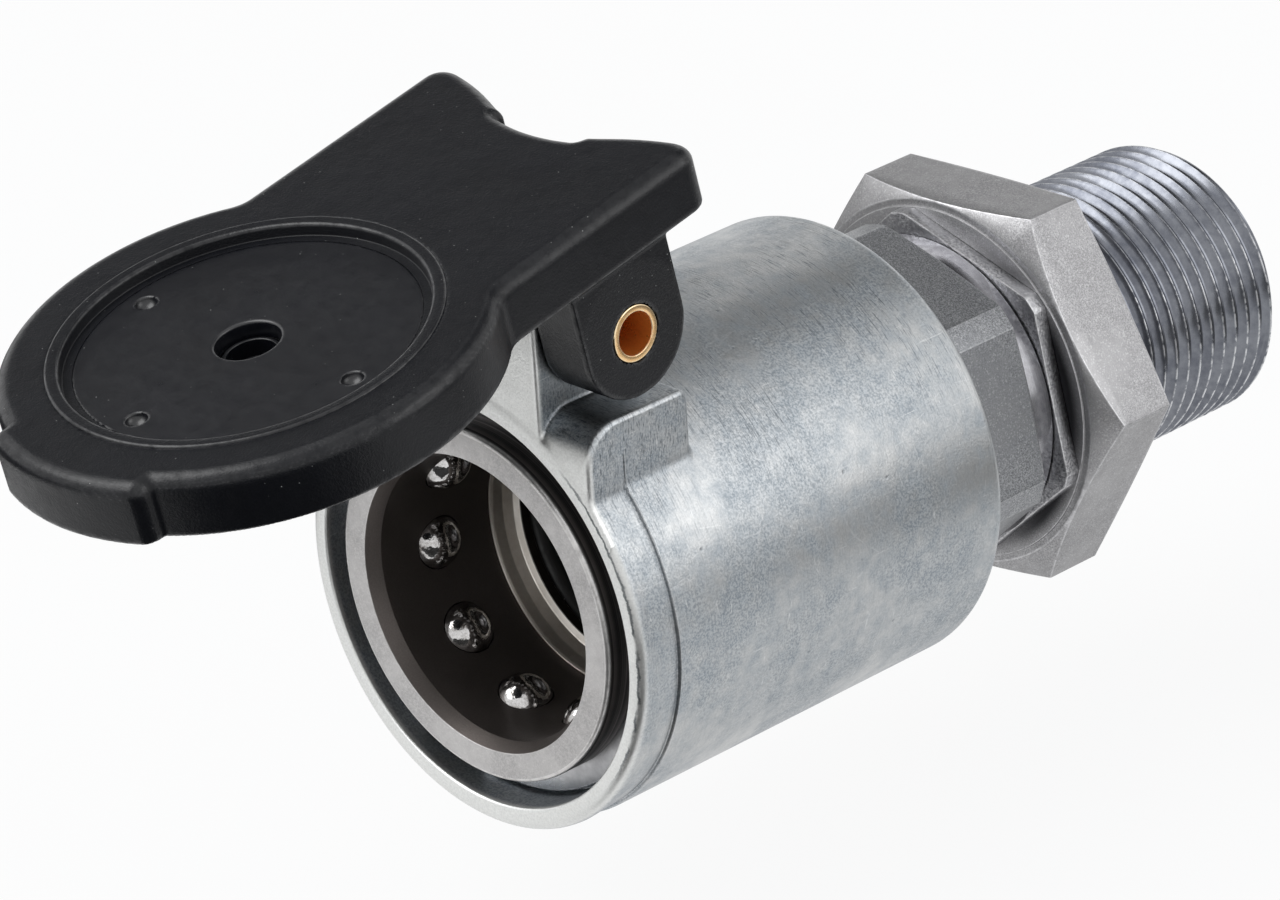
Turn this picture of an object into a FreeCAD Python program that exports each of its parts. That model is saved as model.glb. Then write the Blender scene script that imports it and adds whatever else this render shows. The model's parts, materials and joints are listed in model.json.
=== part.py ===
import FreeCAD, Part
import math
import os

# Bulkhead quick coupling: a ball-lock socket with a sliding sleeve, a hinged dust cap,
# a spring-loaded poppet and a threaded tail with its panel nut.
# Millimetres. The coupling's axis is Y, the mouth faces -Y, the tail +Y, and the cap's hinge is on top.
# Stations are measured along Y from the sleeve's rim, and the finished pieces are moved
# so that the origin is on the axis at the panel seat, the rear face of the thin flange.

# Clearances
run_gap = 0.05      # a shaft in its hole
seat_gap = 0.02     # a pressed or held piece in its seat
loose_gap = 0.3     # curved faces that pass each other
ball_gap = 0.1      # between a ball and the ring that holds it in
cap_gap = 0.2       # between the closed cap and the rim
ear_gap = 0.25      # between an ear and the boss
poppet_gap = 0.3    # between the poppet's cone and its seat

# Outer sleeve
sleeve_length = 40.5
sleeve_wall = 1.8
collar_step = 0.35
collar_length = 3.8
rim_width = 1.6
rib_width = 1.2
rib_height = 1.0
sleeve_edge_r = 0.8
head_root = 0.4     # how deep the head is rooted in the barrel's wall

# Hinge boss and the pedestal that it stands on
hinge_station = 5.9
hinge_rise = 5.65
boss_half_width = 8.9
pedestal_drop = 0.6
pedestal_length = 11.0
pedestal_nose_r = 3.4
pedestal_edge_r = 0.4
tube_r = 2.3
tube_wall = 0.55

# Dust cap, in its own frame: the hinge axis is the origin, the disc lies towards -Y, outside is up
cap_pose = 12.25
cap_overhang = 0.3
cap_thickness = 5.1
cap_edge_r = 1.2
neck_half_width = 14.4
neck_tail = 10.1
neck_corner_r = 2.4
horn_width = 4.8
horn_r = 1.6
web_r = 1.0
tail_notch_depth = 4.4
tab_half_width = 8.2
tab_reach = 1.2
tab_corner_r = 1.5
ear_wall = 2.95
ear_edge_r = 0.5
ear_inset = 0.3
cap_band = 3.8
recess_depth = 0.45
groove_width = 0.35
groove_depth = 0.3
insert_band = 2.1
insert_depth = 0.9
insert_thickness = 1.6
dimple_inset = 1.9
dimple_r = 0.95
dimple_depth = 0.5
centre_hole_r = 2.3

# Plug under the cap, with the stem that holds it and the soft lip round it
plug_side_gap = 0.96
plug_height = 2.8
plug_wall = 1.6
plug_floor = 1.2
plug_edge_r = 0.6
stem_rise = 0.6
stem_wall = 0.9
stem_socket_depth = 1.2
lip_r = 0.75
lip_drop = 1.3

# Ball cage and coupling body
cage_r = 14.87
cage_length = 12.6
cage_edge = 0.3
cage_wall = 3.01
mouth_chamfer = 0.59
mouth_chamfer_length = 1.25
ball_count = 10
ball_r = 2.38
ball_station = 7.4
ball_phase = 14.2
ball_lip = 0.18     # how much narrower than the ball its hole is inside
body_step = 0.67
seat_station = 12.84
seat_step = 0.06
seat_length = 3.2
seat_dish = 0.65
seat_edge = 0.25
probe_step = 1.46
seal_wire_r = 1.22
seal_reach = 0.2
backup_thickness = 0.9
probe_bore_end = 25.0
throat_r = 6.8
throat_length = 2.0
throat_chamfer = 1.5
spigot_wall = 1.8
spigot_length = 10.0

# Stop ring in its groove on the cage
stop_station = 3.0
stop_width = 1.1
stop_groove_depth = 0.9
stop_opening = 6.0
stop_turn = 24.0

# Locking ring, sleeve spring and its washer
lock_wall = 2.01
lock_length = 6.0
lock_ramp = 1.2
spring_wire_r = 0.75
spring_half_turns = 11
spring_side_gap = 0.2
washer_thickness = 1.4

# Poppet, its spring and its guide
poppet_nose_r = 4.0
poppet_nose_length = 5.2
poppet_edge = 0.6
poppet_step = 0.5
poppet_side_gap = 0.7
poppet_land = 1.6
poppet_stem_r = 3.0
poppet_stem_length = 16.5
poppet_seal_wire_r = 0.75
poppet_seal_bed = 0.15
poppet_wire_r = 0.5
poppet_spring_half_turns = 7
guide_thickness = 2.2
guide_ring_width = 1.7
guide_hub_wall = 3.2
guide_hub_step = 1.4
guide_hub_length = 6.0
guide_leg_count = 3
guide_leg_width = 3.0

# Adapter: collar, hexagon, turned waist, thin flange and threaded tail
adapter_station = 32.0
spring_collar_length = 2.0
hex_flats = 27.0
hex_wall = 2.5        # between the flats and the body's spigot
hex_corner_cut = 0.59
hex_turn = 17.5
hex_behind_sleeve = 9.5
hex_chamfer = 0.3
waist_inset = 0.04
waist_length = 2.05
relief_width = 0.2
relief_depth = 0.5
flange_corner_cut = 0.39
flange_thickness = 1.45
thread_r = 12.0
thread_length = 28.8
thread_chamfer = 1.2
adapter_bore_r = 6.0
adapter_chamber_length = 6.0
tube_socket_r = 8.05
tube_socket_depth = 8.5
cone_rise = 1.0
cone_half_angle = 12.0
joint_seal_wire_r = 0.66
joint_seal_land = 2.0

# Panel nut
nut_flats = 32.0
nut_thickness = 7.4
nut_face_inset = 0.7
nut_face_height = 0.2
nut_edge = 0.15
nut_corner_angle = 27.0
nut_rear_angle = 6.0
nut_lead = 0.6      # chamfer at both ends of the nut's thread
nut_turn = -1.4

# Radii and stations that follow from the values above
hex_corner_ratio = 1 / math.cos(math.pi / 6)
lock_bore_r = cage_r + loose_gap
sleeve_bore_r = lock_bore_r + lock_wall + seat_gap
sleeve_r = sleeve_bore_r + sleeve_wall
collar_r = sleeve_r - collar_step
rim_bore_r = collar_r - rim_width
rib_bore_r = rim_bore_r - rib_height
rib_station = stop_station + stop_width + seat_gap
lock_station = rib_station + rib_width
lock_end = lock_station + lock_length
ball_centre_r = lock_bore_r - ball_gap - ball_r
stop_groove_r = cage_r - stop_groove_depth
stop_outer_r = rim_bore_r - loose_gap
body_r = cage_r - body_step
mouth_bore_r = cage_r - cage_wall
probe_bore_r = mouth_bore_r - probe_step
seat_outer_r = mouth_bore_r - seat_step
seal_station = seat_station + seat_length
seal_end = seal_station + 2 * seal_wire_r + backup_thickness + 3 * seat_gap
seal_mean_r = probe_bore_r + seal_wire_r - seal_reach
seal_groove_r = seal_mean_r + seal_wire_r + seat_gap
spigot_r = hex_flats / 2 - hex_wall
chamber_r = spigot_r - spigot_wall
throat_end = probe_bore_end + throat_length
seat_cone_end = throat_end + chamber_r - throat_r
spigot_end = adapter_station + spigot_length
guide_end = spigot_end + guide_thickness
socket_r = spigot_r + run_gap
joint_groove_r = socket_r + 2 * joint_seal_wire_r
washer_station = adapter_station - washer_thickness - seat_gap
spring_collar_r = sleeve_bore_r - loose_gap
spring_r = spring_collar_r - spring_side_gap - spring_wire_r
poppet_head_r = chamber_r - poppet_side_gap
poppet_cone_r = throat_r - poppet_step
poppet_cone_start = throat_end + poppet_gap
poppet_cone_end = poppet_cone_start + poppet_head_r - poppet_cone_r
poppet_seal_r = (poppet_cone_r + poppet_head_r) / 2 - poppet_seal_bed
poppet_seal_station = (poppet_cone_start + poppet_cone_end) / 2 + poppet_seal_bed
poppet_back = seat_cone_end + poppet_land
guide_hub_r = poppet_stem_r + guide_hub_wall
poppet_spring_r = guide_hub_r - poppet_wire_r - poppet_edge
hex_front = adapter_station + spring_collar_length
hex_rear = sleeve_length + hex_behind_sleeve
hex_corner_r = hex_flats / 2 * hex_corner_ratio - hex_corner_cut
waist_r = hex_flats / 2 - waist_inset
relief_r = waist_r - relief_depth
waist_start = hex_rear + hex_chamfer
waist_end = waist_start + waist_length
flange_corner_r = hex_flats / 2 * hex_corner_ratio - flange_corner_cut
flange_front = waist_end + relief_width
panel_seat = flange_front + flange_thickness
tail_end = panel_seat + thread_length
hinge_height = sleeve_r + hinge_rise
boss_r = hinge_station
boss_hole_r = tube_r + seat_gap
ear_r = tube_r + ear_wall
ear_outer = neck_half_width - ear_inset
ear_inner = boss_half_width + ear_gap
pedestal_top = sleeve_r - pedestal_drop
cap_disc_r = sleeve_r + cap_overhang
cap_under = hinge_station + cap_gap
cap_top = cap_under + cap_thickness
notch_half_width = neck_half_width - horn_width
recess_r = cap_disc_r - cap_band
insert_r = recess_r - insert_band
insert_top = cap_top - insert_depth
insert_floor = insert_top - insert_thickness
dimple_circle_r = insert_r - dimple_inset
plug_r = mouth_bore_r - plug_side_gap


def revolve(points):
    """Turn a closed outline of (radius, station) points round the coupling's axis."""
    corners = [FreeCAD.Vector(r, y, 0) for r, y in points]
    outline = Part.makePolygon(corners + corners[:1])
    return Part.Face(outline).revolve(FreeCAD.Vector(0, 0, 0), FreeCAD.Vector(0, 1, 0), 360)


def disc(radius, start, end, x=0.0, z=0.0):
    """A round bar along the axis."""
    return Part.makeCylinder(radius, end - start, FreeCAD.Vector(x, start, z), FreeCAD.Vector(0, 1, 0))


def tube(outer, inner, start, end):
    """A round tube along the axis."""
    return disc(outer, start, end).cut(disc(inner, start - 1, end + 1))


def cross_bar(radius, half_length, y, z):
    """A round bar across the coupling, along X."""
    start = FreeCAD.Vector(-half_length, y, z)
    return Part.makeCylinder(radius, 2 * half_length, start, FreeCAD.Vector(1, 0, 0))


def block(x0, x1, y0, y1, z0, z1):
    """A box from its two corners."""
    return Part.makeBox(x1 - x0, y1 - y0, z1 - z0, FreeCAD.Vector(x0, y0, z0))


def ring(mean_r, wire_r, station):
    """A round-section ring about the axis."""
    return Part.makeTorus(mean_r, wire_r, FreeCAD.Vector(0, station, 0), FreeCAD.Vector(0, 1, 0))


def hexagon(flats, start, end, turn=0.0):
    """A hexagonal bar along the axis, one flat on top before it is turned."""
    corner = flats / 2 * hex_corner_ratio
    angles = [math.radians(30 + turn + 60 * i) for i in range(7)]
    points = [FreeCAD.Vector(corner * math.sin(a), start, corner * math.cos(a)) for a in angles]
    return Part.Face(Part.makePolygon(points)).extrude(FreeCAD.Vector(0, end - start, 0))


def coil(mean_r, wire_r, start, end, half_turns):
    """A spring along the axis, from one seat to the other, bent from tilted half rings end to end."""
    rise = (end - start - 2 * wire_r) / half_turns
    across = FreeCAD.Vector(0, 0, 1)
    halves = []
    for i in range(half_turns):
        side = 1 if i % 2 == 0 else -1
        station = start + wire_r + rise * i
        here = FreeCAD.Vector(side * mean_r, station, 0)
        there = FreeCAD.Vector(-side * mean_r, station + rise, 0)
        section = Part.Face(Part.Wire(Part.makeCircle(wire_r, here, across)))
        axis = across.cross(there - here) * side
        axis.normalize()
        halves.append(section.revolve((here + there) * 0.5, axis * -1, 180))
    return halves[0].multiFuse(halves[1:]).removeSplitter()


def edges_at(shape, test):
    """The edges whose middle point passes a test."""
    found = []
    for edge in shape.Edges:
        middle = edge.valueAt((edge.FirstParameter + edge.LastParameter) / 2)
        if test(middle):
            found.append(edge)
    return found


def ball_angles():
    """Where the balls stand round the axis, in radians from the top."""
    return [math.radians(ball_phase + 360.0 / ball_count * i) for i in range(ball_count)]


def sleeve_barrel():
    """The sleeve's turned form, with its collar, its inner rib and its open ends."""
    outline = [
        (rim_bore_r, 0), (collar_r, 0), (collar_r, collar_length), (sleeve_r, collar_length),
        (sleeve_r, sleeve_length), (sleeve_bore_r, sleeve_length), (sleeve_bore_r, lock_station),
        (rib_bore_r, lock_station), (rib_bore_r, rib_station), (rim_bore_r, rib_station),
    ]
    barrel = revolve(outline)
    front = edges_at(barrel, lambda p: abs(p.y) < 0.01 and math.hypot(p.x, p.z) > collar_r - 0.1)
    rear = edges_at(barrel, lambda p: abs(p.y - sleeve_length) < 0.01 and math.hypot(p.x, p.z) > sleeve_r - 0.1)
    return barrel.makeFillet(sleeve_edge_r, front + rear)


def pedestal():
    """The block across the top of the sleeve, with its nose rounded towards the mouth."""
    body = block(-ear_outer, ear_outer, 0, pedestal_length, 0, pedestal_top)
    nose = edges_at(body, lambda p: abs(p.y) < 0.01 and abs(p.z - pedestal_top) < 0.01)
    body = body.makeFillet(pedestal_nose_r, nose)
    low = pedestal_top - pedestal_nose_r - 0.1
    sides = edges_at(body, lambda p: abs(abs(p.x) - ear_outer) < 0.01 and p.z > low and p.y < pedestal_length - 0.1)
    return body.makeFillet(pedestal_edge_r, sides)


def hinge_boss():
    """The upright lug between the cap's ears: flat in front, in line with the rim, and round on top."""
    top = cross_bar(boss_r, boss_half_width, hinge_station, hinge_height)
    web = block(-boss_half_width, boss_half_width, 0, hinge_station + boss_r, 0, hinge_height)
    return top.fuse(web).removeSplitter()


def outer_sleeve():
    """The die-cast sleeve with its hinge boss; the tube's hole runs through the boss."""
    core = disc(rim_bore_r + head_root, -1, sleeve_length)
    head = pedestal().fuse(hinge_boss()).cut(core)
    sleeve = sleeve_barrel().fuse(head).removeSplitter()
    return sleeve.cut(cross_bar(boss_hole_r, boss_half_width + 1, hinge_station, hinge_height))


def locking_ring():
    """The hardened ring inside the sleeve that holds the balls in; its front edge is a ramp."""
    outer = sleeve_bore_r - seat_gap
    return revolve([
        (lock_bore_r + lock_ramp / 2, lock_station), (outer, lock_station), (outer, lock_end),
        (lock_bore_r, lock_end), (lock_bore_r, lock_station + lock_ramp),
    ])


def hinge_tube():
    """The thin tube that is the cap's hinge pin, flush with the ears."""
    outer = cross_bar(tube_r, ear_outer, hinge_station, hinge_height)
    return outer.cut(cross_bar(tube_r - tube_wall, ear_outer + 1, hinge_station, hinge_height))


def coupling_body():
    """The ball cage and valve body, one turned piece with the balls' holes."""
    groove_end = stop_station + stop_width + seat_gap
    outline = [
        (mouth_bore_r + mouth_chamfer, 0), (cage_r - cage_edge, 0), (cage_r, cage_edge), (cage_r, stop_station),
        (stop_groove_r, stop_station), (stop_groove_r, groove_end), (cage_r, groove_end),
        (cage_r, cage_length), (body_r, cage_length + body_step), (body_r, adapter_station),
        (spigot_r, adapter_station), (spigot_r, spigot_end), (chamber_r, spigot_end),
        (chamber_r, seat_cone_end), (throat_r, throat_end), (throat_r, probe_bore_end),
        (probe_bore_r, probe_bore_end - throat_chamfer), (probe_bore_r, seal_end),
        (seal_groove_r, seal_end), (seal_groove_r, seal_station), (seat_outer_r, seal_station),
        (seat_outer_r, seat_station), (mouth_bore_r, seat_station), (mouth_bore_r, mouth_chamfer_length),
    ]
    body = revolve(outline)
    outward = cage_r - ball_centre_r + 1
    inward = ball_centre_r - mouth_bore_r + 1
    for angle in ball_angles():
        radial = FreeCAD.Vector(math.sin(angle), 0, math.cos(angle))
        centre = radial * ball_centre_r + FreeCAD.Vector(0, ball_station, 0)
        body = body.cut(Part.makeCylinder(ball_r + run_gap, outward, centre, radial))
        body = body.cut(Part.makeSphere(ball_r + run_gap, centre))
        body = body.cut(Part.makeCylinder(ball_r - ball_lip, inward, centre, radial * -1))
    return body


def locking_balls():
    """The ring of steel balls, each in its hole in the cage."""
    balls = []
    for angle in ball_angles():
        radial = FreeCAD.Vector(math.sin(angle), 0, math.cos(angle))
        balls.append(Part.makeSphere(ball_r, radial * ball_centre_r + FreeCAD.Vector(0, ball_station, 0)))
    return Part.makeCompound(balls)


def seat_ring():
    """The bright dished ring behind the balls that guides the plug and holds the seal."""
    outer = seat_outer_r - seat_gap
    rear = seal_station - seat_gap
    dish = seat_station + seat_dish
    return revolve([
        (outer - seat_edge, seat_station), (outer, seat_station + seat_edge), (outer, rear), (probe_bore_r, rear),
        (probe_bore_r, dish + seat_edge), (probe_bore_r + seat_edge, dish),
    ])


def stop_ring():
    """The open ring in the cage's groove that stops the sleeve."""
    start = stop_station + seat_gap / 2
    end = start + stop_width
    band = tube(stop_outer_r, stop_groove_r + seat_gap, start, end)
    gap = block(-stop_opening / 2, stop_opening / 2, start - 1, end + 1, -stop_outer_r - 1, 0)
    gap.rotate(FreeCAD.Vector(0, 0, 0), FreeCAD.Vector(0, 1, 0), stop_turn)
    return band.cut(gap)


def guide_spider():
    """The poppet's guide: a hub on three legs inside a flat ring."""
    inner = spigot_r - guide_ring_width
    hub_end = spigot_end + guide_hub_length
    hub = disc(guide_hub_r, spigot_end, guide_end).fuse(disc(guide_hub_r - guide_hub_step, guide_end, hub_end))
    spider = tube(spigot_r, inner, spigot_end, guide_end).fuse(hub)
    for i in range(guide_leg_count):
        leg = block(-guide_leg_width / 2, guide_leg_width / 2, spigot_end, guide_end, guide_hub_r - 1, inner + 0.5)
        leg.rotate(FreeCAD.Vector(0, 0, 0), FreeCAD.Vector(0, 1, 0), 360.0 / guide_leg_count * i)
        spider = spider.fuse(leg)
    return spider.cut(disc(poppet_stem_r + run_gap, spigot_end - 1, hub_end + 1)).removeSplitter()


def poppet():
    """The valve's poppet: nose, cone that closes on its seat, seal groove and stem."""
    nose_tip = probe_bore_end - poppet_nose_length
    stem_end = poppet_back + poppet_stem_length
    shoulder = poppet_cone_start - poppet_edge
    body = revolve([
        (0, nose_tip), (poppet_nose_r - poppet_edge, nose_tip), (poppet_nose_r, nose_tip + poppet_edge),
        (poppet_nose_r, shoulder), (poppet_cone_r, shoulder), (poppet_cone_r, poppet_cone_start),
        (poppet_head_r, poppet_cone_end), (poppet_head_r, poppet_back), (poppet_stem_r, poppet_back),
        (poppet_stem_r, stem_end - poppet_edge), (poppet_stem_r - poppet_edge, stem_end), (0, stem_end),
    ])
    return body.cut(ring(poppet_seal_r, poppet_seal_wire_r + seat_gap, poppet_seal_station))


def poppet_seal():
    """The round ring in the poppet's cone."""
    return ring(poppet_seal_r, poppet_seal_wire_r, poppet_seal_station)


def adapter_solid():
    """The adapter's outside: collar for the spring, hexagon, turned waist, relief, thin flange and tail."""
    hex_bar = hexagon(hex_flats, hex_front, panel_seat, hex_turn)
    turned = revolve([
        (0, hex_front), (hex_corner_r, hex_front), (hex_corner_r, hex_rear),
        (waist_r, waist_start), (waist_r, waist_end), (relief_r, waist_end), (relief_r, flange_front),
        (flange_corner_r, flange_front), (flange_corner_r, panel_seat), (0, panel_seat),
    ])
    tail = revolve([
        (0, panel_seat), (thread_r, panel_seat), (thread_r, tail_end - thread_chamfer),
        (thread_r - thread_chamfer, tail_end), (0, tail_end),
    ])
    collar = disc(spring_collar_r, adapter_station, hex_front)
    return hex_bar.common(turned).fuse(tail).fuse(collar)


def adapter_body():
    """The adapter with its through bore: body socket, seal land, chamber and tube cone."""
    mouth_depth = cone_rise / math.tan(math.radians(cone_half_angle))
    land = adapter_station + joint_seal_land
    chamber_end = guide_end + adapter_chamber_length
    narrowed = chamber_end + chamber_r - adapter_bore_r
    socket_floor = tail_end - tube_socket_depth
    hollow = revolve([
        (0, adapter_station - 1), (joint_groove_r, adapter_station - 1), (joint_groove_r, land),
        (socket_r, land), (socket_r, guide_end), (chamber_r, guide_end), (chamber_r, chamber_end),
        (adapter_bore_r, narrowed), (adapter_bore_r, socket_floor), (tube_socket_r, socket_floor),
        (tube_socket_r, tail_end - mouth_depth), (tube_socket_r + cone_rise, tail_end),
        (tube_socket_r + cone_rise, tail_end + 1), (0, tail_end + 1),
    ])
    return adapter_solid().cut(hollow)


def bulkhead_nut():
    """The panel nut: flat washer face, corners turned off most in front, thread chamfered at both ends."""
    end = panel_seat + nut_thickness
    shoulder = panel_seat + nut_face_height
    bore_r = thread_r + run_gap
    face_r = nut_flats / 2 - nut_face_inset
    rim_r = nut_flats / 2 - nut_edge
    outside = nut_flats / 2 * hex_corner_ratio + 1
    drop = (outside - rim_r) * math.tan(math.radians(nut_corner_angle))
    rear_drop = (outside - rim_r) * math.tan(math.radians(nut_rear_angle))
    turned = revolve([
        (bore_r, panel_seat + nut_lead), (bore_r + nut_lead, panel_seat), (face_r, panel_seat), (face_r, shoulder),
        (rim_r, shoulder), (outside, shoulder + drop), (outside, end - rear_drop), (rim_r, end),
        (bore_r + nut_lead, end), (bore_r, end - nut_lead),
    ])
    return hexagon(nut_flats, panel_seat, end, nut_turn).common(turned)


def uprights(shape, test):
    """The plate's upright edges whose place in plan passes a test."""
    found = []
    for edge in shape.Edges:
        if len(edge.Vertexes) == 2:
            low, high = edge.Vertexes[0].Point, edge.Vertexes[1].Point
            if abs(low.z - high.z) > cap_thickness / 2 and test(low):
                found.append(edge)
    return found


def cap_round(radius, low, high):
    """A round bar upright through the middle of the cap's disc."""
    return Part.makeCylinder(radius, high - low, FreeCAD.Vector(0, -hinge_height, low), FreeCAD.Vector(0, 0, 1))


def cap_neck():
    """The square end of the cap's plate, with rounded horns on both sides of a hollow."""
    neck = block(-neck_half_width, neck_half_width, -hinge_height, neck_tail, cap_under, cap_top)
    notch_r = (notch_half_width ** 2 + tail_notch_depth ** 2) / (2 * tail_notch_depth)
    middle = FreeCAD.Vector(0, neck_tail + notch_r - tail_notch_depth, cap_under - 1)
    neck = neck.cut(Part.makeCylinder(notch_r, cap_thickness + 2, middle, FreeCAD.Vector(0, 0, 1)))
    outer = uprights(neck, lambda p: abs(abs(p.x) - neck_half_width) < 0.01 and p.y > neck_tail - 0.01)
    neck = neck.makeFillet(neck_corner_r, outer)
    inner = uprights(neck, lambda p: abs(abs(p.x) - notch_half_width) < 0.01 and p.y > neck_tail - 0.01)
    return neck.makeFillet(horn_r, inner)


def cap_outline_plate():
    """The cap's plate: disc, thumb tab and neck, with every corner rounded, before it is hollowed."""
    plate = cap_round(cap_disc_r, cap_under, cap_top)
    tab_r = cap_disc_r + tab_reach
    front = block(-tab_half_width, tab_half_width, -hinge_height - tab_r - 1, -hinge_height, 0, cap_top)
    tab = cap_round(tab_r, cap_under, cap_top).common(front)
    tab_ends = uprights(tab, lambda p: abs(abs(p.x) - tab_half_width) < 0.01 and p.y < -hinge_height - 1)
    plate = plate.fuse(tab.makeFillet(tab_corner_r, tab_ends)).fuse(cap_neck()).removeSplitter()
    inward = uprights(plate, lambda p: abs(math.hypot(p.x, p.y + hinge_height) - cap_disc_r) < 0.02)
    return plate.makeFillet(web_r, inward)


def cap_ear(side):
    """One of the two ears that carry the hinge tube."""
    x0, x1 = sorted((side * ear_inner, side * ear_outer))
    round_end = Part.makeCylinder(ear_r, x1 - x0, FreeCAD.Vector(x0, 0, 0), FreeCAD.Vector(1, 0, 0))
    web = block(x0, x1, -ear_r, ear_r, 0, cap_under + ear_edge_r)
    ear = round_end.fuse(web).removeSplitter()
    outer_edges = edges_at(ear, lambda p: abs(p.x - side * ear_outer) < 0.01 and p.z < cap_under)
    return ear.makeFillet(ear_edge_r, outer_edges)


def dust_cap():
    """The moulded cap with its recess, seat for the disc and hinge ears."""
    plate = cap_outline_plate()
    plate = plate.makeFillet(cap_edge_r, edges_at(plate, lambda p: abs(p.z - cap_top) < 0.01))
    slope_r = recess_r - groove_width
    slope = Part.makeCone(insert_r + seat_gap, slope_r, insert_depth - recess_depth,
                          FreeCAD.Vector(0, -hinge_height, insert_top), FreeCAD.Vector(0, 0, 1))
    cap = plate.cut(slope)
    cap = cap.cut(cap_round(slope_r, cap_top - recess_depth, cap_top + 1))
    cap = cap.cut(cap_round(recess_r, cap_top - groove_depth, cap_top + 1))
    cap = cap.cut(cap_round(insert_r + seat_gap, insert_floor, cap_top))
    cap = cap.cut(cap_round(centre_hole_r, cap_under - 1, cap_top))
    cap = cap.fuse(cap_ear(1)).fuse(cap_ear(-1)).removeSplitter()
    return cap.cut(cross_bar(tube_r + run_gap, neck_half_width + 1, 0, 0))


def cap_insert():
    """The smooth disc set in the cap's face, with three dimples and a centre hole."""
    plate = cap_round(insert_r, insert_floor, insert_top).cut(cap_round(centre_hole_r, insert_floor - 1, cap_top))
    for turn in (0, 90, 180):
        a = math.radians(turn)
        x = dimple_circle_r * math.cos(a)
        y = -hinge_height - dimple_circle_r * math.sin(a)
        low = FreeCAD.Vector(x, y, insert_top - dimple_depth)
        plate = plate.cut(Part.makeCylinder(dimple_r, dimple_depth + 1, low, FreeCAD.Vector(0, 0, 1)))
    return plate


def lip_ring(wire_r):
    """A round-section ring about the plug, at the lip's height."""
    return Part.makeTorus(plug_r, wire_r, FreeCAD.Vector(0, -hinge_height, cap_under - lip_drop),
                          FreeCAD.Vector(0, 0, 1))


def cap_plug():
    """The plug under the cap that enters the mouth; its stem is held in the centre hole."""
    base = cap_under - plug_height
    plug = cap_round(plug_r, base, cap_under)
    plug = plug.makeFillet(plug_edge_r, edges_at(plug, lambda p: abs(p.z - base) < 0.01))
    stem_top = insert_floor + stem_rise
    stem_r = centre_hole_r - seat_gap
    plug = plug.cut(cap_round(plug_r - plug_wall, base - 1, cap_under - plug_floor))
    plug = plug.fuse(cap_round(stem_r, cap_under - plug_floor, stem_top)).removeSplitter()
    plug = plug.cut(cap_round(stem_r - stem_wall, stem_top - stem_socket_depth, stem_top + 1))
    return plug.cut(lip_ring(lip_r + seat_gap))


def cap_lip():
    """The soft ring round the plug that keeps dust out of the mouth."""
    return lip_ring(lip_r)


def on_hinge(shape):
    """Move a piece of the cap from its own frame to the half-open place on the hinge."""
    shape.rotate(FreeCAD.Vector(0, 0, 0), FreeCAD.Vector(1, 0, 0), cap_pose)
    shape.translate(FreeCAD.Vector(0, hinge_station, hinge_height))
    return shape


def pieces():
    """Every piece of the coupling under its node's name."""
    backup_start = seal_end - backup_thickness - seat_gap
    spring_end = washer_station - seat_gap
    joint_r = socket_r + joint_seal_wire_r - seat_gap / 2
    return {
        "outer_sleeve": outer_sleeve(),
        "locking_ring": locking_ring(),
        "hinge_tube": hinge_tube(),
        "coupling_body": coupling_body(),
        "locking_balls": locking_balls(),
        "seat_ring": seat_ring(),
        "bore_seal": ring(seal_mean_r, seal_wire_r, seal_station + seal_wire_r + seat_gap),
        "backup_ring": tube(seal_groove_r - seat_gap, probe_bore_r, backup_start, seal_end - seat_gap),
        "stop_ring": stop_ring(),
        "spring_washer": tube(spring_collar_r, body_r + run_gap, washer_station, washer_station + washer_thickness),
        "sleeve_spring": coil(spring_r, spring_wire_r, lock_end + seat_gap, spring_end, spring_half_turns),
        "joint_seal": ring(joint_r, joint_seal_wire_r - seat_gap, adapter_station + joint_seal_land / 2),
        "poppet": poppet(),
        "poppet_seal": poppet_seal(),
        "poppet_spring": coil(poppet_spring_r, poppet_wire_r, poppet_back + seat_gap, spigot_end - seat_gap,
                              poppet_spring_half_turns),
        "poppet_guide": guide_spider(),
        "adapter_body": adapter_body(),
        "bulkhead_nut": bulkhead_nut(),
        "dust_cap": on_hinge(dust_cap()),
        "cap_insert": on_hinge(cap_insert()),
        "cap_plug": on_hinge(cap_plug()),
        "cap_lip": on_hinge(cap_lip()),
    }


def main():
    """Build every piece, move the origin to the panel seat and write the files."""
    os.makedirs("parts", exist_ok=True)
    for name, shape in pieces().items():
        shape.translate(FreeCAD.Vector(0, -panel_seat, 0))
        shape.exportStep("parts/" + name + ".step")
        print(name, len(shape.Solids), round(shape.Volume, 1), shape.isValid())


main()
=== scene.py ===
"""The looks of a bulkhead quick coupling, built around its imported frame."""

import json
import logging
import math
from dataclasses import dataclass
from enum import Enum
from typing import Callable

import bmesh
import bpy
import numpy as np
from mathutils import Matrix, Vector


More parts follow.
